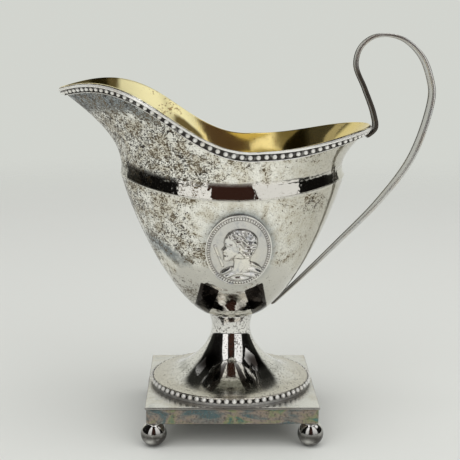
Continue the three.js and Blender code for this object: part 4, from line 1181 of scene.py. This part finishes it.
# Medallion: a struck oval plaque bent to the bowl, with a milled border and a bust in profile.
# The face is a plain ideal one. Tarnish lies in the grooves and the raised parts are rubbed pale.
MEDALLION_HALF_WIDTH = 12.0
MEDALLION_HALF_HEIGHT = 14.8
MEDALLION_THICKNESS = 0.7
MEDALLION_OFFSET = 1.8
MEDALLION_PLACE = 0.678
BORDER_WIDTH = 1.2
BORDER_RISE = 0.25
TOOTH_RISE = 0.32
TOOTH_COUNT = 78
MEDALLION_COLUMNS = 660
FIELD_RINGS = 76
HEAD_TOP = 9.6  # crown of the head above the medallion's middle
HEAD_HEIGHT = 13.6  # from the crown to the chin
HEAD_FRONT = -7.2  # the face's foremost plane, left of the middle
FRONT = -np.pi / 2
RELIEF_SCALE = 1.45
STRUCK_TONES = ((0.80, 0.785, 0.75, 1), (0.90, 0.865, 0.78, 1), (0.38, 0.40, 0.45, 1))


def medallion_surface(across, up, out):
    """A place on the medallion, bent to the bowl: across and up from its middle, and out from the bowl.

    Going up follows the bowl's side in short strides, and going across follows its round.
    """
    step = 0.01
    place = np.full(np.shape(up), MEDALLION_PLACE)
    for _ in range(8):
        stride = bowl_surface(FRONT, place + step) - bowl_surface(FRONT, place - step)
        place = place + up / 8 * (2 * step) / np.linalg.norm(stride, axis=-1)
    round_ = bowl_surface(FRONT + step, place) - bowl_surface(FRONT - step, place)
    angle = FRONT + (MEDALLION_OFFSET + across) / (np.linalg.norm(round_, axis=-1) / (2 * step))
    return offset_surface(bowl_surface, angle, place, SEAM + out)


def inside_depth(u, v, outline):
    """How deep points lie in a closed outline: the distance to its nearest side, negative outside."""
    a, b = outline, np.roll(outline, -1, 0)
    edge = b - a
    reach = np.stack([u, v], -1)[..., None, :] - a
    t = np.clip((reach * edge).sum(-1) / (edge**2).sum(-1), 0, 1)
    distance = np.linalg.norm(reach - t[..., None] * edge, axis=-1).min(-1)
    spans = (a[:, 1] > v[..., None]) != (b[:, 1] > v[..., None])
    fall = np.where(edge[:, 1] == 0, 1, edge[:, 1])
    crosses = u[..., None] < a[:, 0] + (v[..., None] - a[:, 1]) * edge[:, 0] / fall
    inside = (spans & crosses).sum(-1) % 2 == 1
    return np.where(inside, distance, -distance)


def smooth_loop(knots):
    """A closed smooth outline through knots."""
    knots = np.asarray(knots, float)
    return spans_through(np.vstack([knots[-1:], knots, knots[:2]]))[::10]


def pillow(depth, slope_width, rise):
    """A raised form that swells from its edge to its full rise over a slope."""
    t = np.clip(depth / slope_width, 0, 1)
    return rise * np.sqrt(1 - (1 - t) ** 2)


def ridge(u, v, start, end, width):
    """A soft bar between two points, 1 along its middle and nothing beyond its width."""
    start, end = np.array(start), np.array(end)
    along = end - start
    t = np.clip(((u - start[0]) * along[0] + (v - start[1]) * along[1]) / (along**2).sum(), 0, 1)
    away = np.hypot(u - start[0] - t * along[0], v - start[1] - t * along[1])
    return np.exp(-((away / width) ** 2))


def lump(u, v, centre, half_across, half_up):
    """A soft round swelling about a centre."""
    return np.exp(-(((u - centre[0]) / half_across) ** 2) - ((v - centre[1]) / half_up) ** 2)


def on_head(x, y):
    """A place on the head, in head heights right of the face's front plane and down from the crown."""
    return HEAD_FRONT + HEAD_HEIGHT * x, HEAD_TOP - HEAD_HEIGHT * y


def bust_relief(u, v):
    """Height of the bust over the field: head, hair, neck and cloak as swelling forms with details.

    The features sit on the usual thirds and halves of a head: eyes at half its height, the nose's base
    at two thirds, the mouth at four fifths.
    """
    profile = smooth_loop([on_head(x, y) for x, y in (
        (0.24, 0.13), (0.17, 0.22), (0.135, 0.32), (0.125, 0.42), (0.145, 0.48), (0.10, 0.57),
        (0.055, 0.635), (0.10, 0.68), (0.10, 0.73), (0.095, 0.765), (0.12, 0.79), (0.10, 0.82),
        (0.125, 0.87), (0.12, 0.94), (0.18, 0.99), (0.30, 0.975), (0.42, 0.92), (0.60, 0.95),
        (0.82, 0.86), (0.96, 0.66), (1.02, 0.44), (0.97, 0.22), (0.80, 0.06), (0.58, 0.0),
        (0.38, 0.035))])
    hair = smooth_loop([on_head(x, y) for x, y in (
        (0.20, 0.16), (0.27, 0.25), (0.37, 0.29), (0.44, 0.40), (0.47, 0.52), (0.52, 0.62),
        (0.60, 0.72), (0.70, 0.86), (0.84, 0.86), (0.97, 0.66), (1.03, 0.44), (0.98, 0.21),
        (0.81, 0.05), (0.58, -0.01), (0.37, 0.02))])
    throat = smooth_loop([on_head(x, y) for x, y in (
        (0.36, 0.85), (0.40, 1.02), (0.38, 1.18), (0.30, 1.30), (0.46, 1.46), (0.74, 1.42),
        (0.98, 1.28), (0.88, 1.14), (0.83, 0.98), (0.84, 0.80))])
    cloak = smooth_loop([on_head(x, y) for x, y in (
        (0.04, 1.40), (0.18, 1.24), (0.34, 1.18), (0.50, 1.28), (0.66, 1.20), (0.84, 1.04),
        (1.04, 1.12), (1.20, 1.36), (1.10, 1.50), (0.86, 1.58), (0.58, 1.62), (0.30, 1.58),
        (0.14, 1.52))])
    head = pillow(inside_depth(u, v, profile), 2.6, 1.0)
    depth = inside_depth(u, v, hair)
    turn_x, turn_y = on_head(0.62, 0.42)
    flow = (v - turn_y) + 0.45 * (u - turn_x) + 0.55 * np.sin(1.15 * (u - turn_x) - 0.35 * (v - turn_y))
    curl = np.cos(3.6 * flow) + 0.45 * np.cos(2.3 * (u - turn_x) + 1.8 * np.sin(1.8 * flow))
    clear_of_ear = 1 - lump(u, v, on_head(0.545, 0.56), 1.1, 1.5)
    locks = (pillow(depth, 0.7, 0.34) + np.clip(depth / 0.8, 0, 1) * 0.20 * curl) * clear_of_ear
    neck = pillow(inside_depth(u, v, throat), 2.4, 0.72)
    folds = np.cos(2.3 * (v + 0.5 * np.hypot(u - 0.6, 1.2)) + 0.6 * np.sin(0.8 * u)) * 0.26
    dress = pillow(inside_depth(u, v, cloak), 1.0, 0.62)
    dress = dress + np.clip(dress / 0.62, 0, 1) * folds
    features = (
        0.26 * lump(u, v, on_head(0.30, 0.66), 1.7, 1.6)
        + 0.22 * ridge(u, v, on_head(0.15, 0.435), on_head(0.33, 0.44), 0.45)
        - 0.30 * lump(u, v, on_head(0.215, 0.505), 0.95, 0.55)
        + 0.26 * lump(u, v, on_head(0.225, 0.51), 0.55, 0.34)
        - 0.16 * ridge(u, v, on_head(0.155, 0.64), on_head(0.185, 0.69), 0.28)
        + 0.20 * lump(u, v, on_head(0.13, 0.655), 0.45, 0.40)
        - 0.20 * ridge(u, v, on_head(0.12, 0.79), on_head(0.215, 0.795), 0.22)
        + 0.16 * lump(u, v, on_head(0.165, 0.92), 0.9, 0.7)
        - 0.14 * ridge(u, v, on_head(0.36, 0.90), on_head(0.50, 0.70), 0.5)
    )
    ear = 0.42 * lump(u, v, on_head(0.545, 0.56), 0.75, 1.15)
    ear = ear - 0.36 * lump(u, v, on_head(0.535, 0.55), 0.33, 0.6)
    cord = 0.2 * ridge(u, v, on_head(0.74, 0.92), on_head(0.52, 1.34), 0.7)
    head = head + np.clip(head / 0.5, 0, 1) * (features + ear)
    body = np.maximum(np.maximum(head, neck + np.clip(neck / 0.5, 0, 1) * cord), dress)
    staff = 0.42 * ridge(u, v, (-9.0, 2.6), (-5.9, -6.2), 0.36)
    return np.maximum(body + locks, staff)


angle = np.linspace(0, 2 * np.pi, MEDALLION_COLUMNS, endpoint=False)
oval = np.stack([MEDALLION_HALF_WIDTH * np.cos(angle), MEDALLION_HALF_HEIGHT * np.sin(angle)], -1)
field_share = 1 - BORDER_WIDTH / MEDALLION_HALF_WIDTH
over_border = np.array([0.04, 0.14, 0.3, 0.5, 0.7, 0.86, 0.96, 1.0])
border_rings = field_share + (1 - field_share) * over_border
ring_share = np.concatenate([np.linspace(0, field_share, FIELD_RINGS), border_rings])
u = ring_share[:, None] * oval[:, 0]
v = ring_share[:, None] * oval[:, 1]
steps = np.linalg.norm(np.roll(oval, -1, 0) - oval, axis=1)
travel = np.concatenate([[0], np.cumsum(steps)[:-1]]) / steps.sum()
teeth = 0.5 + 0.5 * np.cos(2 * np.pi * TOOTH_COUNT * travel)
border_share = np.clip((ring_share - field_share) / (1 - field_share), 0, 1)
crown = np.clip(4 * border_share * (1 - border_share), 0, 1) ** 0.5
across = np.linspace(-MEDALLION_HALF_WIDTH, MEDALLION_HALF_WIDTH, 241)
upward = np.linspace(-MEDALLION_HALF_HEIGHT, MEDALLION_HALF_HEIGHT, 297)
sheet = RELIEF_SCALE * bust_relief(*np.meshgrid(across, upward))
softened = sheet
for axis in (0, 1, 0, 1):
    softened = sum(np.roll(softened, shift, axis) for shift in range(-3, 4)) / 7
cavity = np.clip((softened - sheet) * 5.5 - 0.16, 0, 1)


def sampled(field, u, v):
    """A field of numbers on the relief's square grid, read between its points from the nearest four."""
    i = np.clip((u - across[0]) / (across[1] - across[0]), 0, len(across) - 1.001)
    j = np.clip((v - upward[0]) / (upward[1] - upward[0]), 0, len(upward) - 1.001)
    i0, j0 = i.astype(int), j.astype(int)
    s, t = i - i0, j - j0
    low = (1 - s) * field[j0, i0] + s * field[j0, i0 + 1]
    high = (1 - s) * field[j0 + 1, i0] + s * field[j0 + 1, i0 + 1]
    return (1 - t) * low + t * high


on_field = (ring_share <= field_share)[:, None]
relief = sampled(sheet, u, v) * on_field
grooves = sampled(cavity, u, v) * on_field * 0.85 + crown[:, None] * np.clip(1 - 2.6 * teeth, 0, 1)
grooves = grooves + 0.5 * np.exp(-(((ring_share - field_share) / 0.012) ** 2))[:, None]
grooves = grooves + 0.16 * on_field * np.clip(1 - relief / 0.5, 0, 1)
relief = relief + crown[:, None] * (BORDER_RISE + TOOTH_RISE * teeth)
face = medallion_surface(u, v, MEDALLION_THICKNESS + relief)
back_share = np.array([1.0, 0.5, 0.0])[:, None]
flat = np.zeros((3, MEDALLION_COLUMNS))
back = medallion_surface(back_share * oval[:, 0], back_share * oval[:, 1], flat)
points = np.concatenate([face, back]).reshape(-1, 3)
medallion_values = {"hollow": np.concatenate([grooves, flat]).ravel()}
faces = grid_faces(len(face) + 3, MEDALLION_COLUMNS)
struck_silver = satin_silver("struck_silver", STRUCK_TONES, 0.18, 0.3, 0.008)
plaque = make_piece("plaque", [(points, faces, medallion_values)], [struck_silver])
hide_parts("medallion")

# Bezel: a plain wire ring soldered to the bowl round the medallion, its top burnished over the edge.
BEZEL_WIDTH = 0.62
BEZEL_HEIGHT = 0.95
BEZEL_COLUMNS = 240
section = rounded_section(
    [(0, -0.2), (0, BEZEL_HEIGHT), (BEZEL_WIDTH, BEZEL_HEIGHT), (BEZEL_WIDTH, -0.2)], 0.28, 6)
angle = np.linspace(0, 2 * np.pi, BEZEL_COLUMNS, endpoint=False)
u = (MEDALLION_HALF_WIDTH + section[:, :1]) * np.cos(angle)
v = (MEDALLION_HALF_HEIGHT + section[:, :1]) * np.sin(angle)
wire = medallion_surface(u, v, np.broadcast_to(section[:, 1:], u.shape))
grime = np.repeat(np.clip(0.8 - section[:, 1], 0, 0.6), BEZEL_COLUMNS)
wire_shell = wire.reshape(-1, 3), grid_faces(len(section), BEZEL_COLUMNS, True), {"hollow": grime}
bezel = make_piece("bezel_wire", [wire_shell], [struck_silver])
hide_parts("medallion_bezel")
